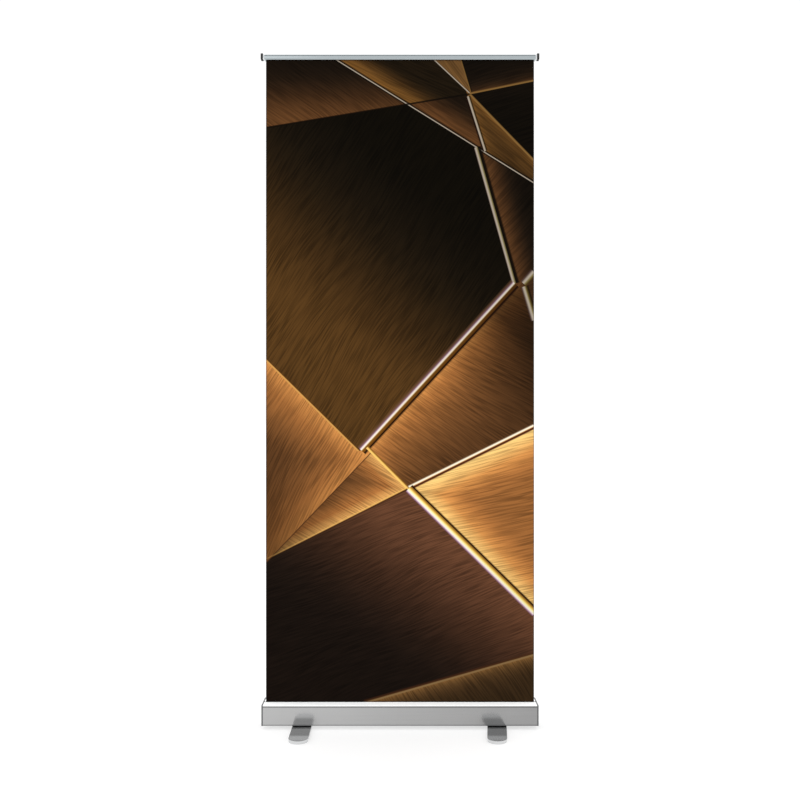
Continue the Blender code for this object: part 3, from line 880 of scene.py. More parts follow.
def wood(level: float, cast: Cast) -> Rgb:
    """The wood's colour at a level of light, from 0 in the dark to 7 at its brightest."""
    step = min(int(level), len(WOOD) - 2)
    parts = zip(WOOD[step], WOOD[step + 1], cast.value)
    return srgb(*((low + (high - low) * (level - step)) * kept for low, high, kept in parts))


@dataclass(frozen=True)
class Shade:
    """How a panel's light changes away from a line: the levels near and far, and the reach.

    An even one eases from near to far within its reach, in millimetres. The other kind dies
    away, by two thirds over each reach.
    """

    near: float
    far: float
    reach: float
    even: bool = False
    cast: Cast = Cast.PLAIN

    def share(self, past: float) -> float:
        """How far the light has changed at a distance, given in reaches."""
        return past * past * (3 - 2 * past) if self.even else 1 - math.exp(-past)

    def stops(self, steps: int = 9) -> list[tuple[float, Rgb, float]]:
        """Stops for a ramp over the distance."""
        end = 1.0 if self.even else 3.5
        stops = []
        for index in range(steps + 1):
            past = end * index / steps
            level = self.near + (self.far - self.near) * self.share(past)
            stops.append((past * self.reach * MM, wood(level, self.cast), 1.0))
        return stops


@dataclass(frozen=True)
class Panel:
    """A plane of printed wood between lines, lit along one or two of them.

    inside names its lines and its side of each, 1 for the left. grain is the wood's angle in
    degrees. glow gives each lighting line with a pace and a start in millimetres: the distance
    from the line, times the pace and past the start, picks the shade. dim darkens the panel
    along a line: the line, the middle and width of the passage in metres, and the loss.
    """

    name: str
    inside: tuple[tuple[str, int], ...]
    grain: float
    glow: tuple[tuple[str, float, float], ...]
    shade: Shade
    signed: bool = False
    dim: tuple[str, float, float, float] | None = None


@dataclass(frozen=True)
class Strip:
    """A narrow band of light or dark that follows a line.

    profile gives tones and covers over the distance from the line in millimetres. near and far
    scale the cover at the line's two ends, and over is how far it runs past them.
    """

    line: str
    profile: tuple[tuple[float, Tone, float], ...]
    near: float = 1.0
    far: float = 1.0
    over: float = 1.5 * MM


LINES = {
    "slant_high": Line((-0.202, 2.114), (0.424, 1.724)),
    "thread_upper": Line((0.109, 2.114), (0.224, 2.006)),
    "thread_lower": Line((0.224, 2.006), (0.424, 1.799)),
    "crown_left": Line((-0.425, 1.899), (0.222, 2.006)),
    "crown_right": Line((0.222, 2.006), (0.424, 2.047)),
    "notch": Line((0.193, 2.114), (0.224, 2.012)),
    "post_upper": Line((0.216, 1.997), (0.270, 1.826)),
    "post_lower": Line((0.241, 1.835), (0.362, 1.405)),
    "blade": Line((0.362, 1.405), (-0.123, 0.877)),
    "blade_tail": Line((0.393, 1.405), (0.424, 1.440)),
    "spur": Line((0.393, 1.393), (0.424, 1.289)),
    "cream": Line((0.026, 0.756), (0.424, 0.952)),
    "bright": Line((0.025, 0.749), (0.424, 0.356)),
    "left_high": Line((-0.425, 1.165), (-0.131, 0.876)),
    "left_seam": Line((-0.090, 0.870), (-0.425, 0.519)),
    "knot_edge": Line((-0.106, 0.881), (0.022, 0.752)),
    "left_low": Line((0.022, 0.753), (-0.425, 0.5275)),
    "skirt": Line((-0.112, 0.076), (0.424, 0.228)),
    "fade_dark": Line((0.245, 1.641), (0.003, 1.846)),
    "fade_low": Line((-0.584, 0.512), (-0.324, 0.331)),
    "lintel": Line((-0.425, 1.910), (0.000, 1.910)),
}

PANELS = (
    Panel("floor_board", (), 22, (("fade_low", 1, 0),), Shade(0.6, 3.1, 510, True, Cast.COOL), signed=True),
    Panel("skirt_board", (("skirt", -1),), -55, (("skirt", 1, 0),), Shade(3.8, 1.65, 30, cast=Cast.DUSTY)),
    Panel("amber_wedge", (("cream", -1), ("bright", 1)), 12, (("cream", 1, 0), ("bright", 1, 0)),
          Shade(7.0, 4.45, 150, even=True), dim=("bright", 0.45, 0.7, 0.28)),
    Panel("mid_board", (("blade", 1), ("cream", 1), ("knot_edge", 1), ("spur", -1)), -30,
          (("blade", 1, 0),), Shade(6.0, 2.3, 120), dim=("blade", 0.24, -0.27, 0.88)),
    Panel("great_board", (("left_high", 1), ("blade", -1), ("post_lower", -1), ("slant_high", -1),
                          ("crown_left", -1)), 57, (("fade_dark", 1, 0),),
          Shade(0.0, 2.65, 650, True, Cast.GREEN), signed=True),
    Panel("corner_block", (("left_seam", -1), ("blade", 1), ("knot_edge", -1)), 60, (("left_high", 1, 0),),
          Shade(5.9, 5.3, 30)),
    Panel("left_board", (("left_high", -1), ("left_seam", -1)), 62,
          (("left_high", 1, 0), ("left_seam", 0.9, 16)), Shade(5.7, 2.0, 150),
          dim=("left_seam", 0.28, 0.3, 0.68)),
    Panel("left_wedge", (("left_seam", 1), ("knot_edge", -1), ("left_low", -1)), -25,
          (("knot_edge", 1, 0), ("left_low", 1, 0)), Shade(6.4, 1.5, 90), dim=("left_low", 0.32, 0.3, 0.85)),
    Panel("right_board", (("post_lower", 1), ("slant_high", -1), ("blade_tail", 1)), 48,
          (("post_lower", 1, 0),), Shade(2.8, 0.3, 115, even=True)),
    Panel("spur_corner", (("spur", 1), ("blade_tail", -1)), 20, (("spur", 1, 0),), Shade(2.1, 1.7, 40)),
    Panel("crown_board", (("crown_left", 1), ("slant_high", -1)), -38, (("lintel", 1, 0),),
          Shade(2.9, 0.5, 210, even=True)),
    Panel("crown_strip", (("crown_left", 1), ("slant_high", 1), ("thread_upper", -1)), -25,
          (("slant_high", 1, 0),), Shade(3.5, 0.85, 90, True, Cast.GREEN)),
    Panel("thread_gap", (("thread_upper", 1), ("notch", -1)), -50, (("thread_upper", 1, 0),),
          Shade(3.5, 2.9, 30, cast=Cast.DUSTY)),
    Panel("crown_corner", (("notch", 1), ("crown_right", 1)), 15, (("crown_right", 1, 0),),
          Shade(2.2, 0.1, 33)),
    Panel("under_crown", (("crown_left", -1), ("slant_high", 1), ("post_upper", -1)), -33,
          (("slant_high", 1, 0),), Shade(2.95, 0.75, 110, even=True)),
    Panel("thread_wedge", (("post_upper", 1), ("slant_high", 1), ("thread_lower", -1)), -40,
          (("thread_lower", 1, 0), ("post_upper", 1, 0)), Shade(3.5, 2.15, 20, cast=Cast.GREEN)),
    Panel("right_corner", (("crown_right", -1), ("thread_lower", 1)), 15, (("crown_right", 1, 0),),
          Shade(0.3, 0.0, 60)),
)

THREAD = ((-2.5, Tone.STEEL, 0), (-1, Tone.STEEL, 1), (1, Tone.STEEL, 1), (2, Tone.INK, 0.6),
          (4.5, Tone.INK, 0))
STRIPS = (
    Strip("slant_high", ((-7, Tone.INK, 0), (-4, Tone.INK, 0.8), (-2, Tone.INK, 0.95), (-1, Tone.STEEL, 1),
                         (1, Tone.STEEL, 1), (2, Tone.INK, 0.95), (5.5, Tone.INK, 0.8), (9, Tone.INK, 0))),
    Strip("thread_upper", THREAD),
    Strip("thread_lower", ((-6.5, Tone.DULL, 0), (-4.5, Tone.OLD_GOLD, 0.9), (-1.5, Tone.OLD_GOLD, 1),
                           (2, Tone.INK, 1), (5, Tone.INK, 0))),
    Strip("crown_left", ((-3.5, Tone.INK, 0), (-2, Tone.INK, 0.9), (2, Tone.INK, 0.9), (3.5, Tone.INK, 0))),
    Strip("crown_right", ((-2, Tone.OLD_GOLD, 0), (0, Tone.OLD_GOLD, 1), (3, Tone.OLD_GOLD, 0.8),
                          (7, Tone.SEAM, 0))),
    Strip("notch", ((-2, Tone.OLD_GOLD, 0), (0, Tone.OLD_GOLD, 0.9), (3, Tone.INK, 0.9), (7, Tone.INK, 0))),
    Strip("post_upper", ((-10, Tone.GAP, 0), (-7.5, Tone.GAP, 0.8), (-4, Tone.GAP, 1), (-2, Tone.STEEL, 1),
                         (1, Tone.STEEL, 1), (3.5, Tone.OLIVE, 1), (5, Tone.INK, 1), (9, Tone.INK, 0))),
    Strip("post_lower", ((-7, Tone.INK, 0), (-5.5, Tone.DUSK, 1), (-3, Tone.STEEL, 1), (0, Tone.STEEL, 1),
                         (3, Tone.KHAKI, 1), (6.5, Tone.INK, 1), (14, Tone.INK, 0.95), (19, Tone.INK, 0))),
    Strip("blade", ((-1, Tone.GAP, 0), (1, Tone.GAP, 1), (16.5, Tone.GAP, 1), (22, Tone.GAP, 0))),
    Strip("blade", ((1, Tone.BRASS, 0), (2.5, Tone.BRASS, 1), (5.5, Tone.BRONZE, 1), (9.5, Tone.BRONZE, 1),
                    (12.5, Tone.BRONZE_DARK, 1), (15, Tone.GAP, 0)), near=0.24),
    Strip("blade", ((-17, Tone.HAZE, 0), (-10, Tone.HAZE, 0.8), (-6, Tone.MAUVE, 1), (-2, Tone.PEARL, 1),
                    (1, Tone.IVORY, 1), (4.5, Tone.BRASS, 0)), near=0.58),
    Strip("blade_tail", ((-12, Tone.OLIVE, 0), (-8, Tone.OLIVE, 0.9), (-3, Tone.KHAKI, 1), (0, Tone.STEEL, 1),
                         (3.5, Tone.STEEL, 1), (9, Tone.DUSK, 0.9), (14, Tone.DUSK, 0))),
    Strip("spur", ((-10, Tone.DUSK, 0), (-7, Tone.DUSK, 0.9), (-2, Tone.STEEL, 1), (1, Tone.STEEL, 1),
                   (4, Tone.KHAKI, 1), (7, Tone.OLIVE, 1), (12, Tone.INK, 0.9), (17, Tone.INK, 0))),
    Strip("cream", ((-11.5, Tone.RUST, 0), (-8, Tone.RUST, 1), (-3.5, Tone.RUST, 1), (-1.5, Tone.SAND, 1),
                    (0.5, Tone.IVORY, 1), (3, Tone.IVORY, 1), (6.5, Tone.HAZE, 0.8), (9, Tone.HAZE, 0))),
    Strip("bright", ((-1, Tone.GAP, 0), (1, Tone.GAP, 1), (19.5, Tone.GAP, 1), (24, Tone.GAP, 0))),
    Strip("bright", ((-10, Tone.DUSK, 0), (-7, Tone.MAUVE, 0.9), (-4.5, Tone.LILAC, 1), (-2, Tone.PEARL, 1),
                     (1, Tone.IVORY, 1), (4, Tone.LEMON, 1), (8, Tone.GOLD, 1), (12, Tone.BRASS, 1),
                     (15.5, Tone.BRONZE, 1), (17.5, Tone.GAP, 0)), far=0.82),
    Strip("left_high", ((-6, Tone.SAND, 0), (-4.5, Tone.SAND, 1), (-1.5, Tone.SAND, 1),
                        (0.5, Tone.BRONZE_DARK, 0.8), (4, Tone.BRONZE_DARK, 0))),
    Strip("left_seam", ((-2, Tone.SEAM, 0), (-0.5, Tone.SEAM, 0.85), (1, Tone.SEAM, 0.85),
                        (3, Tone.SEAM, 0))),
    Strip("knot_edge", ((-2, Tone.HONEY, 0), (0, Tone.HONEY, 1), (4, Tone.HONEY, 1), (6, Tone.BRASS, 1),
                        (8.5, Tone.BRONZE, 0.8), (11, Tone.BRONZE, 0))),
    Strip("left_low", ((-5, Tone.HONEY, 0), (-3.5, Tone.HONEY, 0.9), (-1.5, Tone.SAND, 1),
                       (0.5, Tone.BRONZE_DARK, 0.95), (3, Tone.GAP, 0.7), (6, Tone.GAP, 0)), far=0.1),
    Strip("skirt", ((-6, Tone.DULL, 0), (-4, Tone.DULL, 1), (-0.5, Tone.DULL, 1), (2, Tone.SEAM, 1),
                    (9.5, Tone.SEAM, 0))),
)


class PrintedFilm(Surface):
    """The print: planes of wood grain that meet at thin strips of light."""

    edge = 1.2 * MM
    frame_side = 2.2 * MM
    frame_end = 1.5 * MM

    def __init__(self, half_width: float, low: float, high: float) -> None:
        """Build the whole print.

        Args:
            half_width: half the sheet's width.
            low, high: where the shown part of it starts and ends.
        """
        super().__init__("printed_film_front", {"Metallic": 0.0, "Specular IOR Level": 0.02})
        chart = self.node("ShaderNodeUVMap", {"uv_map": "Print"}).outputs[0]
        self.spot = PrintPlace(self, chart, self.part(chart, 0), self.part(chart, 1))
        self.beside = {name: line.beside(self.spot) for name, line in LINES.items()}
        picture, turn, seed = self.boards()
        picture = self.grained(picture, turn, seed)
        for strip in STRIPS:
            picture = self.strip(picture, strip)
        side = abs(self.spot.across).rise(half_width - self.frame_side, self.edge)
        top = self.spot.height.rise(high - self.frame_end, self.edge)
        bottom = self.spot.height.rise(low + self.frame_end, -self.edge)
        frame_mask = (side + top + bottom).lowest(1.0)
        picture = self.blend(frame_mask * 0.5, picture, srgb(16, 12, 10))
        self.drive("Base Color", picture)
        weave = self.noise(chart, 900.0, 2.0, 0.7)
        slow = self.noise(chart, 5.0, 2.0)
        self.drive("Roughness", 0.42 + weave * 0.1 + slow * 0.06)
        self.bump(weave, 0.12, 0.00004)

    def boards(self) -> tuple[Input, Value, Value]:
        """Lay the panels over each other.

        Returns:
            Their colour, the turn of each one's grain in radians, and a number that tells
            their grains apart.
        """
        picture: Input = srgb(20, 14, 9)
        turn = self.spot.across * 0.0
        seed = self.spot.across * 0.0
        for number, panel in enumerate(PANELS):
            reach = self.beside[panel.glow[0][0]]
            reach = reach if panel.signed else abs(reach)
            for other, pace, start in panel.glow[1:]:
                reach = reach.lowest(abs(self.beside[other]) * pace + start * MM)
            shade = self.ramp(reach, panel.shade.stops()).outputs["Color"]
            if panel.dim:
                line, middle, width, loss = panel.dim
                fall = LINES[line].along(self.spot).rise(middle, width)
                shade = self.blend(fall * loss, shade, srgb(12, 8, 5))
            if not panel.inside:
                picture = shade
                turn = turn + math.radians(panel.grain)
                continue
            mask = None
            for name, sign in panel.inside:
                step = self.beside[name].rise(0.0, sign * self.edge)
                mask = step if mask is None else mask * step
            picture = self.blend(mask, picture, shade)
            turn = turn + mask * (math.radians(panel.grain) - turn)
            seed = seed + mask * (number * 3.7 - seed)
        return picture, turn, seed

    def grained(self, picture: Input, turn: Value, seed: Value) -> bpy.types.NodeSocket:
        """Draw wood grain over the panels.

        Args:
            picture: the panels' colour.
            turn: the grain's direction, in radians.
            seed: tells one panel's grain from the next.

        Returns:
            The grained colour.
        """
        across, height = self.spot.across, self.spot.height
        run = across * turn.cosine() + height * turn.wave()
        rise = height * turn.cosine() - across * turn.wave()
        place = self.node("ShaderNodeCombineXYZ", {}, {0: run, 1: rise, 2: seed}).outputs[0]
        drift = self.noise(self.stretched(place, (2.6, 3.6, 1.0)), 1.0, 0.0)
        bent = self.node("ShaderNodeCombineXYZ", {}, {0: run, 1: rise + drift * 0.06, 2: seed}).outputs[0]
        lines = self.noise(self.stretched(bent, (12.0, 260.0, 1.0)), 1.0, 0.0, 0.5).rise(0.5, 0.34)
        fibre = self.noise(self.stretched(bent, (18.0, 420.0, 1.0)), 1.0, 2.0, 0.6).rise(0.5, 0.5)
        figure = self.noise(self.stretched(bent, (3.0, 16.0, 1.0)), 1.0, 1.0)
        worn = self.noise(self.stretched(place, (9.0, 12.0, 1.0)), 1.0, 2.0)
        depth = 0.1 + worn * 0.62
        shade = 1.12 - (1 - lines) * depth - (1 - fibre) * 0.12 + (figure - 0.5) * 0.07
        return self.blend(1.0, picture, self.grey(shade), "MULTIPLY")

    def strip(self, picture: Input, strip: Strip) -> bpy.types.NodeSocket:
        """Lay one strip over the picture.

        Args:
            picture: what lies under it.
            strip: its line and profile.

        Returns:
            The picture with the strip on it.
        """
        line = LINES[strip.line]
        along = line.along(self.spot)
        stops = [(place * MM, srgb(*tone.value), cover) for place, tone, cover in strip.profile]
        bands = self.ramp(self.beside[strip.line], stops)
        cover = Value(self, bands.outputs["Alpha"])
        cover = cover * along.rise(-strip.over, self.edge) * along.rise(line.length + strip.over, -self.edge)
        if (strip.near, strip.far) != (1.0, 1.0):
            cover = cover * (strip.near + along * ((strip.far - strip.near) / line.length))
        return self.blend(cover, picture, bands.outputs["Color"])


@dataclass
class Banner:
    """The printed sheet from the roller to the rail."""

    columns: int = 60
    rows: int = 150
    sway: float = 0.45 * MM
    curl: float = 0.8 * MM
    curl_power: float = 6.0
    wavelength: float = 0.31
    calm_low: float = 0.16
    calm_high: float = 1.98
    ease: float = 0.14
    keep: float = 0.4034

    def program(self) -> tuple[GeometryProgram, Value]:
        """Write the rule of the sheet's shape.

        Returns:
            The program and its finished mesh.
        """
        tree = GeometryProgram("sheet_rule")
        width, height = tree.size("Width"), tree.size("Height")
        low, front, thickness = tree.size("Low edge"), tree.size("Front face"), tree.size("Thickness")
        sway, curl, pitch = tree.size("Sway"), tree.size("Edge curl"), tree.size("Wavelength")
        columns, rows = tree.size("Columns", "NodeSocketInt"), tree.size("Rows", "NodeSocketInt")
        grid = tree.node("GeometryNodeMeshGrid", {}, {"Size X": width, "Size Y": height,
                                                      "Vertices X": columns, "Vertices Y": rows})
        place = tree.node("GeometryNodeInputPosition").outputs[0]
        across, up = tree.part(place, 0), tree.part(place, 1)
        level = up + height * 0.5 + low
        calm = level.rise(self.calm_low + self.ease / 2, self.ease)
        calm = calm * level.rise(self.calm_high - self.ease / 2, -self.ease)
        ripple = (across / pitch * (2 * math.pi) + level * 2.1).wave()
        slow = (level / pitch * 1.9 - across * 4.0).wave()
        reach = abs(across) / (width * 0.5)
        edge = reach.power(self.curl_power)
        depth = ((ripple * 0.6 + slow * 0.4) * sway - edge * curl) * calm + front
        moved = tree.node("GeometryNodeSetPosition", {}, {
            "Geometry": grid.outputs["Mesh"], "Position": tree.vector(across, depth, level)})
        chart = tree.node("GeometryNodeStoreNamedAttribute", {"data_type": "FLOAT2", "domain": "CORNER"}, {
            "Geometry": moved.outputs[0], "Name": "Print",
            "Value": tree.vector(across, tree.part(tree.node("GeometryNodeInputPosition").outputs[0], 2))})
        # The offset has to be linked, as an unlinked one follows the normals.
        shell = tree.node("GeometryNodeExtrudeMesh", {"mode": "FACES"}, {
            "Mesh": chart.outputs[0], "Offset": tree.vector(0.0, 1.0, 0.0), "Offset Scale": thickness,
            "Individual": False})
        turned = tree.node("GeometryNodeFlipFaces", {}, {"Mesh": shell.outputs["Mesh"]})
        both = tree.node("GeometryNodeJoinGeometry")
        for part in (turned.outputs[0], chart.outputs[0]):
            tree.tree.links.new(part, both.inputs[0])
        whole = tree.node("GeometryNodeMergeByDistance", {}, {
            "Geometry": both.outputs[0], "Distance": 0.02 * MM})
        return tree, Value(tree, whole.outputs[0])

    def make(self) -> None:
        """Build the sheet and hand it in."""
        low, high = span("banner")
        tree, whole = self.program()
        sheet = tree.make("banner_sheet", whole, Finish.BACK.material(), {
            "Width": high.x - low.x, "Height": high.z - low.z, "Low edge": low.z, "Front face": low.y,
            "Thickness": high.y - low.y, "Sway": self.sway, "Edge curl": self.curl,
            "Wavelength": self.wavelength, "Columns": self.columns, "Rows": self.rows})
        shown_low, shown_high = span("base_housing")[1].z, span("rail_jaw")[0].z
        art = PrintedFilm(high.x, shown_low, shown_high).material
        sheet.data.materials.append(art)
        for face in sheet.data.polygons:
            face.material_index = int(face.normal.y < -0.5)
        sheet.data.shade_smooth()
        sheet.data.set_sharp_from_angle(angle=math.radians(40))
        deliver(sheet, "base", "printed_film", "banner")
        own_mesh(sheet)


# ------------------------------------------------------------------ base
@dataclass
class Housing:
    """The long base profile with its caps, screws and slot lining."""

    wall: float = 1.8 * MM
    corner: float = 2.5 * MM
    slot: Pair = (22.0 * MM, 30.0 * MM)
    rib: Pair = (33.0 * MM, 34.5 * MM)
    rib_low: float = 34.0 * MM
    port_reach: float = 3.2 * MM
    boss: float = 3.6 * MM
    port: float = 1.7 * MM
    groove: float = 0.8 * MM
    groove_heights: tuple[float, ...] = (71.2 * MM, 15.9 * MM)
    cap_rim: float = 1.8 * MM
    cap_corner: float = 3.5 * MM
    cap_field: float = 6.0 * MM
    cap_inner: float = 430.3 * MM
    cap_outer: float = 434.5 * MM
    field_corner: float = 5.0 * MM
    field_depth: float = 0.6 * MM
    bearing_face: float = 427.5 * MM
    bearing_radius: float = 8.5 * MM
    head_face: float = 434.2 * MM
    seat: float = 3.3 * MM
    seat_depth: float = 2.6 * MM
    socket_bore: float = 13.0 * MM
    bolt_bore: float = 4.3 * MM
    tuft_pitch: float = 1.3 * MM
    tuft_height: float = 1.2 * MM
    tuft_radius: float = 0.6 * MM
    ports: list[Pair] = field(default_factory=list)

    def chamber(self) -> tuple[Pair, Pair]:
        """Lowest and highest corner of the space inside."""
        low, high = span("base_housing")
        return (low.y + self.wall, low.z + self.wall), (high.y - self.wall, high.z - self.wall)

    def outline(self) -> list[Pair]:
        """Outside and inside of the profile as one outline, open at the slot."""
        low, high = span("base_housing")
        inner_low, inner_high = self.chamber()
        near = (inner_low[0] + self.port_reach, inner_low[1] + self.port_reach)
        far = (inner_high[0] - self.port_reach, inner_high[1] - self.port_reach)
        self.ports = [near, (near[0], far[1]), (far[0], near[1]), far]
        turn, reach = self.corner, self.boss
        points = [(self.slot[0], high.z - 0.0004), (self.slot[0] - 0.0004, high.z)]
        points += arc((low.y + turn, high.z - turn), turn, 90, 180, 12)
        for height in self.groove_heights:
            points += [(low.y, height + self.groove), (low.y + self.groove * 0.7, height + self.groove * 0.3),
                       (low.y + self.groove * 0.7, height - self.groove * 0.3), (low.y, height - self.groove)]
        points += arc((low.y + turn, low.z + turn), turn, 180, 270, 12)
        points += arc((high.y - turn, low.z + turn), turn, 270, 360, 12)
        points += arc((high.y - turn, high.z - turn), turn, 0, 90, 12)
        points += [(self.slot[1] + 0.0004, high.z), (self.slot[1], high.z - 0.0004)]
        points += [(self.slot[1], inner_high[1]), (self.rib[0], inner_high[1]), (self.rib[0], self.rib_low)]
        points += [(self.rib[1], self.rib_low), (self.rib[1], inner_high[1])]
        points += [(far[0] - reach, inner_high[1])] + arc(far, reach, 180, 270, 8)
        points += [(inner_high[0], far[1] - reach), (inner_high[0], near[1] + reach)]
        points += arc((far[0], near[1]), reach, 90, 180, 8) + [(far[0] - reach, inner_low[1])]
        points += [(near[0] + reach, inner_low[1])] + arc(near, reach, 0, 90, 8)
        points += [(inner_low[0], near[1] + reach), (inner_low[0], far[1] - reach)]
        points += arc((near[0], far[1]), reach, 270, 360, 8) + [(near[0] + reach, inner_high[1])]
        return points + [(self.slot[0], inner_high[1])]

    def profile(self) -> None:
        """Build the profile, cut for the pole's socket and the foot bolts."""
        low, high = span("base_housing")
        outline = self.outline()
        holes = [arc(port, self.port, 0, 345, 23) for port in self.ports]
        body = extrude("base_profile", [outline, *holes], low.x, high.x, Finish.BASE)
        socket_low, socket_high = span("pole_socket")
        centre = ((socket_low.x + socket_high.x) / 2, (socket_low.y + socket_high.y) / 2)
        cut(body, self.socket_bore, high.z - 7 * MM, high.z + 3 * MM, centre, sides=64)
        for side in Side:
            washer_low, washer_high = span("pivot_washer_" + side.word)
            centre = ((washer_low.x + washer_high.x) / 2, (washer_low.y + washer_high.y) / 2)
            cut(body, self.bolt_bore, low.z - 2 * MM, low.z + 3 * MM, centre)
        body = settle(body, 28)
        body.data.materials.append(Finish.TOP.material())
        body.data.materials.append(Finish.INLAY.material())
        # The top faces take the top finish, whose glow is painted light.
        for face in body.data.polygons:
            if face.normal.z > 0.55 and face.center.z > high.z - self.corner:
                face.material_index = 1
            # The faces of the front grooves get the dark grey: painted shade in the recesses.
            elif face.center.y < low.y + 1 * MM and any(
                    abs(face.center.z - height) < self.groove for height in self.groove_heights):
                face.material_index = 2
        deliver(body, "base", "anodised_aluminium", "base_housing")

    def cap(self, side: Side) -> None:
        """Build one end cap.

        Args:
            side: which end.
        """
        low, high = span("end_cap_" + side.word)
        inner, outer = side.value * self.cap_inner, side.value * self.cap_outer
        name = "end_cover_" + side.word
        ends = sorted((inner, outer))
        cap = extrude(name, [rounded_box((low.y, low.z), (high.y, high.z), self.cap_corner, 12)],
                      ends[0], ends[1], Finish.CAP)
        round_rim(cap, 0, outer, self.cap_rim, 6)
        field_low = (low.y + self.cap_field + 3 * MM, low.z + self.cap_field)
        field_high = (high.y - self.cap_field - 3 * MM, high.z - self.cap_field)
        floor = outer - side.value * self.field_depth
        depth = sorted((floor, outer + side.value * 2 * MM))
        sink = extrude(name + "_cutter_field", [rounded_box(field_low, field_high, self.field_corner, 12)],
                       depth[0], depth[1], Finish.CAP)
        round_rim(sink, 0, floor, 0.3 * MM, 3)
        bpy.context.scene.collection.objects.unlink(sink)
        carve(cap, sink)
        for port in self.ports:
            bore = sorted((inner - side.value * 1 * MM, outer + side.value * 1 * MM))
            cut(cap, self.port, bore[0], bore[1], port, "X", 32)
            seat = sorted((outer - side.value * self.seat_depth, outer + side.value * 1 * MM))
            cut(cap, self.seat, seat[0], seat[1], port, "X", 40)
        cap = settle(cap)
        boss = self.bearing(side)
        shape = bmesh.new()
        for part in (cap, boss):
            shape.from_mesh(part.data)
        shape.to_mesh(cap.data)
        shape.free()
        bpy.data.objects.remove(boss, do_unlink=True)
        deliver(cap, "base", "grey_plastic", "end_cap_" + side.word)

    def bearing(self, side: Side) -> bpy.types.Object:
        """Build the boss that holds the roller's rod or axle inside a cap."""
        low, high = span("spring_rod" if side is Side.LEFT else "idle_axle")
        bore = (high.z - low.z) / 2 + 0.3 * MM
        face, radius, soft = self.bearing_face - self.cap_inner, self.bearing_radius, 0.4 * MM
        profile = [(bore, face), (bore + soft, face), (radius - soft, face), (radius, face + soft),
                   (radius, 0.0), (bore, 0.0)]
        centre = (side.value * self.cap_inner, (low.y + high.y) / 2, (low.z + high.z) / 2)
        return lathe("bearing", profile, centre, Finish.CAP, "X", 48, side.value)

    def screw(self) -> bpy.types.Object:
        """Build one pan-head screw with a cross recess, its head's face at the origin."""
        head, shank, depth, length = 3.0 * MM, 1.4 * MM, 2.0 * MM, 14.0 * MM
        dome = [(0.0, 0.0), (head * 0.45, -0.03 * MM), (head * 0.75, -0.2 * MM), (head * 0.95, -0.6 * MM),
                (head, -1.1 * MM), (head, -depth), (shank, -depth)]
        thread: list[Pair] = []
        for turn in range(11):
            height = -3.0 * MM - turn * 0.9 * MM
            thread += [(shank * 0.8, height), (shank, height - 0.35 * MM), (shank * 0.8, height - 0.7 * MM)]
        profile = dome + [(shank, -2.6 * MM)] + thread + [(0.5 * MM, -length + 0.3 * MM), (0.0, -length)]
        made = lathe("screw_master", profile, (0, 0, 0), Finish.ZINC, turns=20)
        for across, along in ((3.0 * MM, 0.75 * MM), (0.75 * MM, 3.0 * MM)):
            shape = bmesh.new()
            bmesh.ops.create_cube(shape, size=1.0, matrix=Matrix.Diagonal((across, along, 2.2 * MM, 1)))
            blade = bpy.data.meshes.new("screw_cutter")
            shape.to_mesh(blade)
            shape.free()
            carve(made, bpy.data.objects.new("screw_cutter", blade))
        return settle(made)

    def screws(self) -> None:
        """Set the eight cap screws in their seats."""
        master = self.screw()
        tree = GeometryProgram("cap_screw_rows")
        face, wide, tall = tree.size("Head face"), tree.size("Spacing across"), tree.size("Spacing up")
        middle, level = tree.size("Middle"), tree.size("Level")
        shape = tree.size("Screw", "NodeSocketObject")
        source = tree.node("GeometryNodeObjectInfo", {"transform_space": "ORIGINAL"}, {"Object": shape})
        grid = tree.node("GeometryNodeMeshGrid", {}, {"Size X": wide, "Size Y": tall,
                                                      "Vertices X": 2, "Vertices Y": 2})
        both = tree.node("GeometryNodeJoinGeometry")
        for side in Side:
            stood = tree.node("GeometryNodeTransform", {}, {
                "Geometry": grid.outputs["Mesh"], "Rotation": (math.pi / 2, 0.0, math.pi / 2),
                "Translation": tree.vector(face * float(side.value), middle, level)})
            placed = tree.node("GeometryNodeInstanceOnPoints", {}, {
                "Points": stood.outputs[0], "Instance": source.outputs["Geometry"],
                "Rotation": (0.0, side.value * math.pi / 2, 0.0)})
            tree.tree.links.new(placed.outputs[0], both.inputs[0])
        near, far = self.ports[0], self.ports[3]
        made = tree.make("cap_screws", both.outputs[0], Finish.ZINC.material(), {
            "Head face": self.head_face, "Spacing across": far[0] - near[0], "Spacing up": far[1] - near[1],
            "Middle": (near[0] + far[0]) / 2, "Level": (near[1] + far[1]) / 2, "Screw": master})
        bpy.data.objects.remove(master, do_unlink=True)
        made.data.shade_smooth()
        made.data.set_sharp_from_angle(angle=math.radians(32))
        names = [f"{side.word}_cap_screw_{number}" for side in Side for number in range(1, 5)]
        deliver(made, "base", "steel", *names)

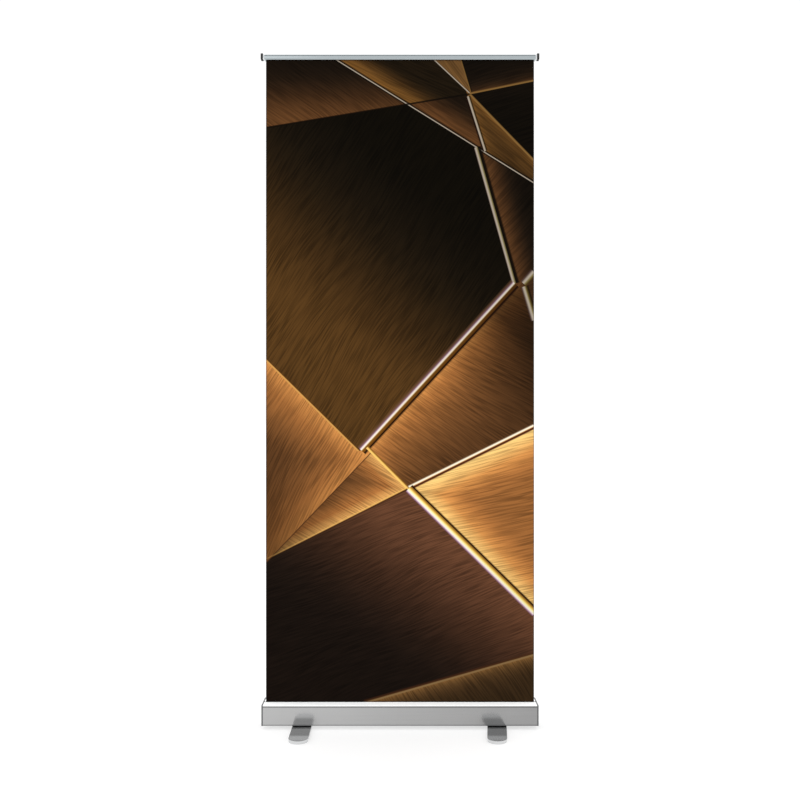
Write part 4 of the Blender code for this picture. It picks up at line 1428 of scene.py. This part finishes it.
    def lining(self, name: str, lean: float) -> None:
        """Line one side of the slot with short pile.

        Args:
            name: the CAD strip that it stands for.
            lean: which way the pile leans, 1 or -1 along the depth.
        """
        low, high = span(name)
        tree = GeometryProgram(name + "_pile")
        length, pitch, deep = tree.size("Length"), tree.size("Pitch"), tree.size("Depth")
        tuft, root = tree.size("Tuft height"), tree.size("Tuft radius")
        count = tree.node("ShaderNodeMath", {"operation": "FLOOR"}, {0: length / pitch})
        grid = tree.node("GeometryNodeMeshGrid", {}, {"Size X": length, "Size Y": deep,
                                                      "Vertices X": count.outputs[0], "Vertices Y": 3})
        cone = tree.node("GeometryNodeMeshCone", {}, {"Vertices": 5, "Side Segments": 1, "Fill Segments": 1,
                                                      "Radius Top": root * 0.45, "Radius Bottom": root,
                                                      "Depth": tuft})
        spread = tree.node("FunctionNodeRandomValue", {"data_type": "FLOAT_VECTOR"}, {
            "Min": (-0.25, -0.25, 0.0), "Max": (0.25, 0.25, 6.0), "Seed": 7})
        placed = tree.node("GeometryNodeInstanceOnPoints", {}, {
            "Points": grid.outputs["Mesh"], "Instance": cone.outputs["Mesh"], "Rotation": spread.outputs[0]})
        stood = tree.node("GeometryNodeTransform", {}, {
            "Geometry": placed.outputs[0],
            "Translation": (0.0, (low.y + high.y) / 2 - lean * 0.1 * MM, high.z - 0.9 * MM)})
        made = tree.make(name.replace("slot_felt", "slot_pile"), stood.outputs[0], Finish.PILE.material(), {
            "Length": high.x - low.x - 2 * MM, "Pitch": self.tuft_pitch,
            "Depth": high.y - low.y - 2 * self.tuft_radius, "Tuft height": self.tuft_height,
            "Tuft radius": self.tuft_radius})
        deliver(made, "base", "felt")
        dress(Finish.PILE, name)

    def make(self) -> None:
        """Build the base."""
        self.profile()
        for side in Side:
            self.cap(side)
        self.screws()
        self.lining("slot_felt_front", 1)
        self.lining("slot_felt_rear", -1)


# ------------------------------------------------------------------ roller
@dataclass
class Roller:
    """The sprung roller inside the base."""

    turns: int = 66
    steps: int = 16

    def spring(self) -> None:
        """Wind the torsion spring round its rod."""
        low, high = span("roller_spring")
        outer = (high.z - low.z) / 2
        wire = 0.9 * MM
        tree = GeometryProgram("spring_winding")
        length, radius, gauge = tree.size("Length"), tree.size("Radius"), tree.size("Wire radius")
        turns = tree.size("Turns")
        spiral = tree.node("GeometryNodeCurveSpiral", {}, {
            "Resolution": self.steps, "Rotations": turns, "Start Radius": radius, "End Radius": radius,
            "Height": length, "Reverse": False})
        ring = tree.node("GeometryNodeCurvePrimitiveCircle", {}, {"Resolution": 8, "Radius": gauge})
        tube = tree.node("GeometryNodeCurveToMesh", {}, {
            "Curve": spiral.outputs[0], "Profile Curve": ring.outputs["Curve"], "Fill Caps": True})
        laid = tree.node("GeometryNodeTransform", {}, {
            "Geometry": tube.outputs[0], "Rotation": (0.0, math.pi / 2, 0.0),
            "Translation": (low.x + wire, (low.y + high.y) / 2, (low.z + high.z) / 2)})
        made = tree.make("spring_coil", laid.outputs[0], Finish.ZINC.material(), {
            "Length": high.x - low.x - 2 * wire, "Radius": outer - wire, "Wire radius": wire,
            "Turns": self.turns})
        made.data.shade_smooth()
        made.data.set_sharp_from_angle(angle=math.radians(50))
        deliver(made, "roller", "steel", "roller_spring")

    def make(self) -> None:
        """Dress the roller's solids and wind its spring."""
        dress(Finish.POLE, "roller_tube")
        dress(Finish.BLACK, "roller_plug_left", "roller_plug_right", "spring_anchor")
        dress(Finish.ZINC, "spring_rod", "idle_axle")
        dress(Finish.BACK, "leader_roll")
        self.spring()


# ------------------------------------------------------------------ pole
@dataclass
class Pole:
    """The telescopic pole behind the sheet, with its socket, twist collars and tip."""

    wall: float = 1.0 * MM
    lip: float = 0.3 * MM
    play: float = 0.3 * MM
    cup_radius: float = 12.7 * MM
    flange_thickness: float = 3.0 * MM
    ribs: int = 28
    rib_radius: float = 0.75 * MM

    def axis(self) -> Pair:
        """The pole's place on the floor plan."""
        low, high = span("pole_lower")
        return (low.x + high.x) / 2, (low.y + high.y) / 2

    def tube(self, node: str, body: str) -> None:
        """Build one tube with broken edges.

        Args:
            node: the CAD tube.
            body: the body that it moves with.
        """
        low, high = span(node)
        radius, lip = (high.x - low.x) / 2, self.lip
        bore = radius - self.wall
        profile = [(bore + lip, low.z), (radius - lip, low.z), (radius, low.z + lip), (radius, high.z - lip),
                   (radius - lip, high.z), (bore + lip, high.z), (bore, high.z - lip), (bore, low.z + lip)]
        made = lathe(node.replace("pole_", "pole_tube_"), profile, (*self.axis(), 0.0), Finish.POLE, turns=64)
        deliver(made, body, "anodised_aluminium", node)

    def socket(self) -> None:
        """Build the flanged cup that holds the pole's foot."""
        low, high = span("pole_socket")
        lower = span("pole_lower")
        flange, top = (high.x - low.x) / 2, high.z
        body, seat = self.cup_radius, lower[0].z - self.play
        bore = (lower[1].x - lower[0].x) / 2 + self.play
        under = top - self.flange_thickness
        profile = [(0.0, seat), (bore, seat), (bore, top - 0.8 * MM), (bore + 0.8 * MM, top)]
        profile += [(flange - 1.2 * MM, top), (flange - 0.35 * MM, top - 0.35 * MM), (flange, top - 1.2 * MM)]
        profile += [(flange, under), (body, under), (body, low.z + 0.8 * MM), (body - 0.8 * MM, low.z)]
        profile += [(0.0, low.z)]
        made = lathe("pole_cup", profile, (*self.axis(), 0.0), Finish.BLACK, turns=72)
        deliver(made, "base", "black_plastic", "pole_socket")

    def collar(self, node: str, tube: str, inner: str) -> None:
        """Build one twist collar with grip ribs.

        Args:
            node: the CAD collar.
            tube: the tube that it sits on.
            inner: the tube that it locks.
        """
        low, high = span(node)
        radius = (high.x - low.x) / 2
        core = radius - self.rib_radius * 0.8
        bore, neck = ((span(part)[1].x - span(part)[0].x) / 2 + self.play for part in (tube, inner))
        step = span(tube)[1].z + self.play
        soft = 1.2 * MM
        profile = [(bore, low.z), (core - soft, low.z), (core - 0.3 * soft, low.z + 0.3 * soft),
                   (core, low.z + soft), (core, low.z + 4 * MM), (core - 0.5 * MM, low.z + 4.6 * MM),
                   (core - 0.5 * MM, low.z + 5.2 * MM), (core, low.z + 5.8 * MM), (core, high.z - 6 * MM),
                   (core - 1.4 * MM, high.z - 1.5 * MM), (core - 2.2 * MM, high.z), (neck, high.z),
                   (neck, step), (bore, step)]
        body = lathe(node + "_body", profile, (*self.axis(), 0.0), Finish.BLACK, turns=84)
        tree = GeometryProgram(node + "_ribs")
        count = tree.size("Ribs", "NodeSocketInt")
        reach, gauge, tall = tree.size("Reach"), tree.size("Rib radius"), tree.size("Rib height")
        middle = tree.size("Middle")
        circle = tree.node("GeometryNodeMeshCircle", {}, {"Vertices": count, "Radius": reach})
        rib = tree.node("GeometryNodeMeshUVSphere", {}, {"Segments": 8, "Rings": 8, "Radius": gauge})
        long_rib = tree.node("GeometryNodeTransform", {}, {
            "Geometry": rib.outputs["Mesh"], "Scale": tree.vector(1.0, 1.0, tall / gauge * 0.5)})
        placed = tree.node("GeometryNodeInstanceOnPoints", {}, {
            "Points": circle.outputs["Mesh"], "Instance": long_rib.outputs[0]})
        raised = tree.node("GeometryNodeTransform", {}, {
            "Geometry": placed.outputs[0], "Translation": tree.vector(*self.axis(), middle)})
        ribs = tree.make(node + "_grip", raised.outputs[0], Finish.BLACK.material(), {
            "Ribs": self.ribs, "Reach": radius - self.rib_radius, "Rib radius": self.rib_radius,
            "Rib height": high.z - low.z - 13.5 * MM, "Middle": (low.z + high.z) / 2 - 0.2 * MM})
        ribs.data.shade_smooth()
        deliver(body, node, "black_plastic", node)
        deliver(ribs, node, "black_plastic")

    def make(self) -> None:
        """Build the pole."""
        bodies = {"pole_lower": "base", "pole_middle": "pole_middle", "pole_upper": "pole_upper"}
        for node, body in bodies.items():
            self.tube(node, body)
        self.socket()
        self.collar("collar_lower", "pole_lower", "pole_middle")
        self.collar("collar_upper", "pole_middle", "pole_upper")
        tip = refined("pole_tip", "pole_hook", Finish.BLACK, 0.35 * MM, 3)
        deliver(tip, "pole_upper", "black_plastic", "pole_tip")
        dress(Finish.BLACK, "middle_stop_plug", "upper_stop_plug")


# ------------------------------------------------------------------ rail
@dataclass
class Rail:
    """The snap rail that clamps the top of the sheet."""

    edge: float = 0.25 * MM
    neck_edge: float = 0.5 * MM
    cap_corner: float = 3.4 * MM
    cap_rim: float = 2.2 * MM

    def end(self, side: Side) -> None:
        """Build one end of the rail: its pale neck and its black cap.

        Args:
            side: which end.
        """
        node = "rail_neck_" + side.word
        neck = refined(node, "rail_end_neck_" + side.word, Finish.NYLON, self.neck_edge, 3)
        deliver(neck, "rail", "anodised_aluminium", node)
        low, high = span("rail_cap_" + side.word)
        name = "rail_end_" + side.word
        cap = extrude(name, [rounded_box((low.y, low.z), (high.y, high.z), self.cap_corner, 12)],
                      low.x, high.x, Finish.BLACK)
        for face in (low.x, high.x):
            round_rim(cap, 0, face, self.cap_rim, 6)
        deliver(settle(cap), "rail", "black_plastic", "rail_cap_" + side.word)

    def make(self) -> None:
        """Build the rail."""
        body = refined("rail_body", "rail_rear_half", Finish.RAIL, self.edge)
        deliver(body, "rail", "anodised_aluminium", "rail_body")
        jaw = refined("rail_jaw", "rail_front_jaw", Finish.RAIL, self.edge)
        deliver(jaw, "rail_jaw", "anodised_aluminium", "rail_jaw")
        for side in Side:
            self.end(side)


# ------------------------------------------------------------------ feet
@dataclass
class Foot:
    """A swivel foot with its pads and its pivot's bolt, washer and nut."""

    side: Side
    turn: float = 0.0
    half_width: float = 30.0 * MM
    ahead: float = 185.0 * MM
    behind: float = 125.0 * MM
    rim: float = 2.5 * MM
    pad_inset: float = 30.0 * MM
    pad_seat: float = 9.3 * MM
    pad_depth: float = 3.5 * MM
    bolt_bore: float = 4.3 * MM
    head_seat: float = 6.9 * MM
    head_depth: float = 6.9 * MM

    @property
    def pivot(self) -> Pair:
        """The pivot's place on the floor plan."""
        low, high = span("pivot_bolt_" + self.side.word)
        return (low.x + high.x) / 2, (low.y + high.y) / 2

    def plan(self, along: float) -> Pair:
        """A point on the foot's middle line, at a distance behind the pivot."""
        across, deep = self.pivot
        return across - along * math.sin(self.turn), deep + along * math.cos(self.turn)

    def plate(self) -> None:
        """Build the foot's plate."""
        name = "foot_" + self.side.word
        low, high = span(name)
        rear, front = self.plan(self.behind - self.half_width), self.plan(self.half_width - self.ahead)
        turn = math.degrees(self.turn)
        outline = arc(rear, self.half_width, turn, turn + 180, 48)
        outline += arc(front, self.half_width, turn + 180, turn + 360, 48)
        plate = extrude(name + "_plate", [outline], low.z, high.z, Finish.FOOT, "Z")
        round_rim(plate, 2, high.z, self.rim, 7)
        round_rim(plate, 2, low.z, 0.5 * MM, 2)
        cut(plate, self.bolt_bore, low.z - 2 * MM, high.z + 2 * MM, self.pivot)
        cut(plate, self.head_seat, low.z - 2 * MM, self.head_depth, self.pivot, sides=48)
        for along in (self.pad_inset - self.ahead, self.behind - self.pad_inset):
            cut(plate, self.pad_seat, low.z - 2 * MM, self.pad_depth, self.plan(along), sides=48)
        deliver(settle(plate, 30), name, "foot_steel", name)

    def pad(self, end: str) -> None:
        """Build one rubber pad with rings on its tread.

        Args:
            end: front or rear.
        """
        node = f"foot_{self.side.word}_pad_{end}"
        low, high = span(node)
        radius, tread = (high.x - low.x) / 2, low.z
        profile = [(0.0, high.z), (radius - 0.4 * MM, high.z), (radius, high.z - 0.4 * MM),
                   (radius, tread + 0.5 * MM), (radius - 0.5 * MM, tread)]
        for ring in (6.6, 4.6, 2.6):
            profile += [(ring * MM + 0.5 * MM, tread), (ring * MM + 0.3 * MM, tread + 0.6 * MM),
                        (ring * MM - 0.3 * MM, tread + 0.6 * MM), (ring * MM - 0.5 * MM, tread)]
        profile += [(0.0, tread)]
        centre = ((low.x + high.x) / 2, (low.y + high.y) / 2, 0.0)
        made = lathe(f"foot_{self.side.word}_tread_{end}", profile, centre, Finish.RUBBER, turns=48)
        deliver(made, "foot_" + self.side.word, "rubber", node)

    def bolt(self) -> None:
        """Build the pivot bolt with its socket head and thread, and its washer."""
        word = self.side.word
        low, high = span("pivot_bolt_" + word)
        shank, head, seat = 4.0 * MM, 6.6 * MM, 6.6 * MM
        profile = [(0.0, high.z), (shank - 0.6 * MM, high.z)]
        for turn in range(8):
            level = high.z - 0.6 * MM - turn * 1.0 * MM
            profile += [(shank, level), (shank, level - 0.15 * MM), (shank - 0.35 * MM, level - 0.5 * MM),
                        (shank, level - 0.85 * MM)]
        profile += [(shank, seat), (head - 0.2 * MM, seat), (head, seat - 0.2 * MM),
                    (head, low.z + 0.8 * MM), (head - 0.25 * MM, low.z + 0.25 * MM), (head - 0.8 * MM, low.z),
                    (0.0, low.z)]
        bolt = lathe("foot_bolt_" + word, profile, (*self.pivot, 0.0), Finish.ZINC, turns=48)
        cut(bolt, 2.6 * MM, low.z - 1 * MM, low.z + 2.4 * MM, self.pivot, sides=6)
        deliver(settle(bolt), "base", "steel", "pivot_bolt_" + word)
        low, high = span("pivot_washer_" + word)
        radius = (high.x - low.x) / 2
        ring = [(shank + 0.3 * MM, low.z), (radius - 0.2 * MM, low.z), (radius, low.z + 0.2 * MM),
                (radius, high.z - 0.2 * MM), (radius - 0.2 * MM, high.z), (shank + 0.3 * MM, high.z)]
        washer = lathe("foot_washer_" + word, ring, (*self.pivot, 0.0), Finish.BLACK, turns=64)
        deliver(washer, "base", "black_plastic", "pivot_washer_" + word)
        nut = refined("pivot_nut_" + word, "foot_nut_" + word, Finish.ZINC, 0.4 * MM, 2)
        deliver(nut, "base", "steel", "pivot_nut_" + word)

    def make(self) -> None:
        """Build the foot."""
        self.plate()
        for end in ("front", "rear"):
            self.pad(end)
        self.bolt()


# ------------------------------------------------------------------ studio
@dataclass
class Studio:
    """The floor, the light and the camera."""

    distance: float = 3.25
    eye: float = 1.0348
    lens: float = 46.67
    sky: float = 1.06
    floor_size: float = 80.0
    floor_glow: float = 0.6
    key_place: Point = (-2.6, -2.6, 2.2)
    key_aim: Point = (0.0, 0.0, 0.9)
    key_size: float = 2.4
    key_power: float = 10.0

    def floor(self) -> None:
        """Lay a plain white floor."""
        half = self.floor_size / 2
        mesh = bpy.data.meshes.new("studio_floor")
        mesh.from_pydata([(-half, -half, 0), (half, -half, 0), (half, half, 0), (-half, half, 0)], [],
                         [(0, 1, 2, 3)])
        surface = Surface("studio_floor", {"Base Color": (0.5, 0.5, 0.5), "Roughness": 0.9,
                                           "Specular IOR Level": 0.0, "Emission Color": (1.0, 1.0, 1.0),
                                           "Emission Strength": self.floor_glow})
        piece_of("studio_floor", mesh, [surface.material])

    def lights(self) -> None:
        """Set an even white surround, and a large soft light at the front left."""
        world = bpy.data.worlds.new("studio")
        bpy.context.scene.world = world
        world.use_nodes = True
        surround = world.node_tree.nodes["Background"]
        surround.inputs["Color"].default_value = (1.0, 1.0, 1.0, 1.0)
        surround.inputs["Strength"].default_value = self.sky
        data = bpy.data.lights.new("key", "AREA")
        data.shape, data.size, data.energy = "SQUARE", self.key_size, self.key_power
        key = bpy.data.objects.new("key", data)
        key.location = self.key_place
        aim = Vector(self.key_aim) - key.location
        key.rotation_euler = aim.to_track_quat("-Z", "Y").to_euler()
        bpy.context.scene.collection.objects.link(key)

    def camera(self) -> None:
        """Set the camera level, straight in front."""
        front = span("base_housing")[0].y
        data = bpy.data.cameras.new("camera")
        data.lens, data.sensor_width = self.lens, 36.0
        data.clip_start, data.clip_end = 0.05, 200.0
        camera = bpy.data.objects.new("camera", data)
        camera.location = (0.0, front - self.distance, self.eye)
        camera.rotation_euler = (math.pi / 2, 0.0, 0.0)
        bpy.context.scene.collection.objects.link(camera)
        bpy.context.scene.camera = camera
        bpy.context.scene.view_settings.view_transform = "Standard"

    def make(self) -> None:
        """Set up the studio."""
        self.floor()
        self.lights()
        self.camera()


def main() -> None:
    """Build every sub-assembly."""
    logging.basicConfig(level=logging.INFO, format="%(name)s: %(message)s")
    Studio().make()
    Housing().make()
    Roller().make()
    Pole().make()
    Rail().make()
    Foot(Side.LEFT).make()
    Foot(Side.RIGHT, math.radians(-5)).make()
    Banner().make()


if __name__ == "__main__":
    main()
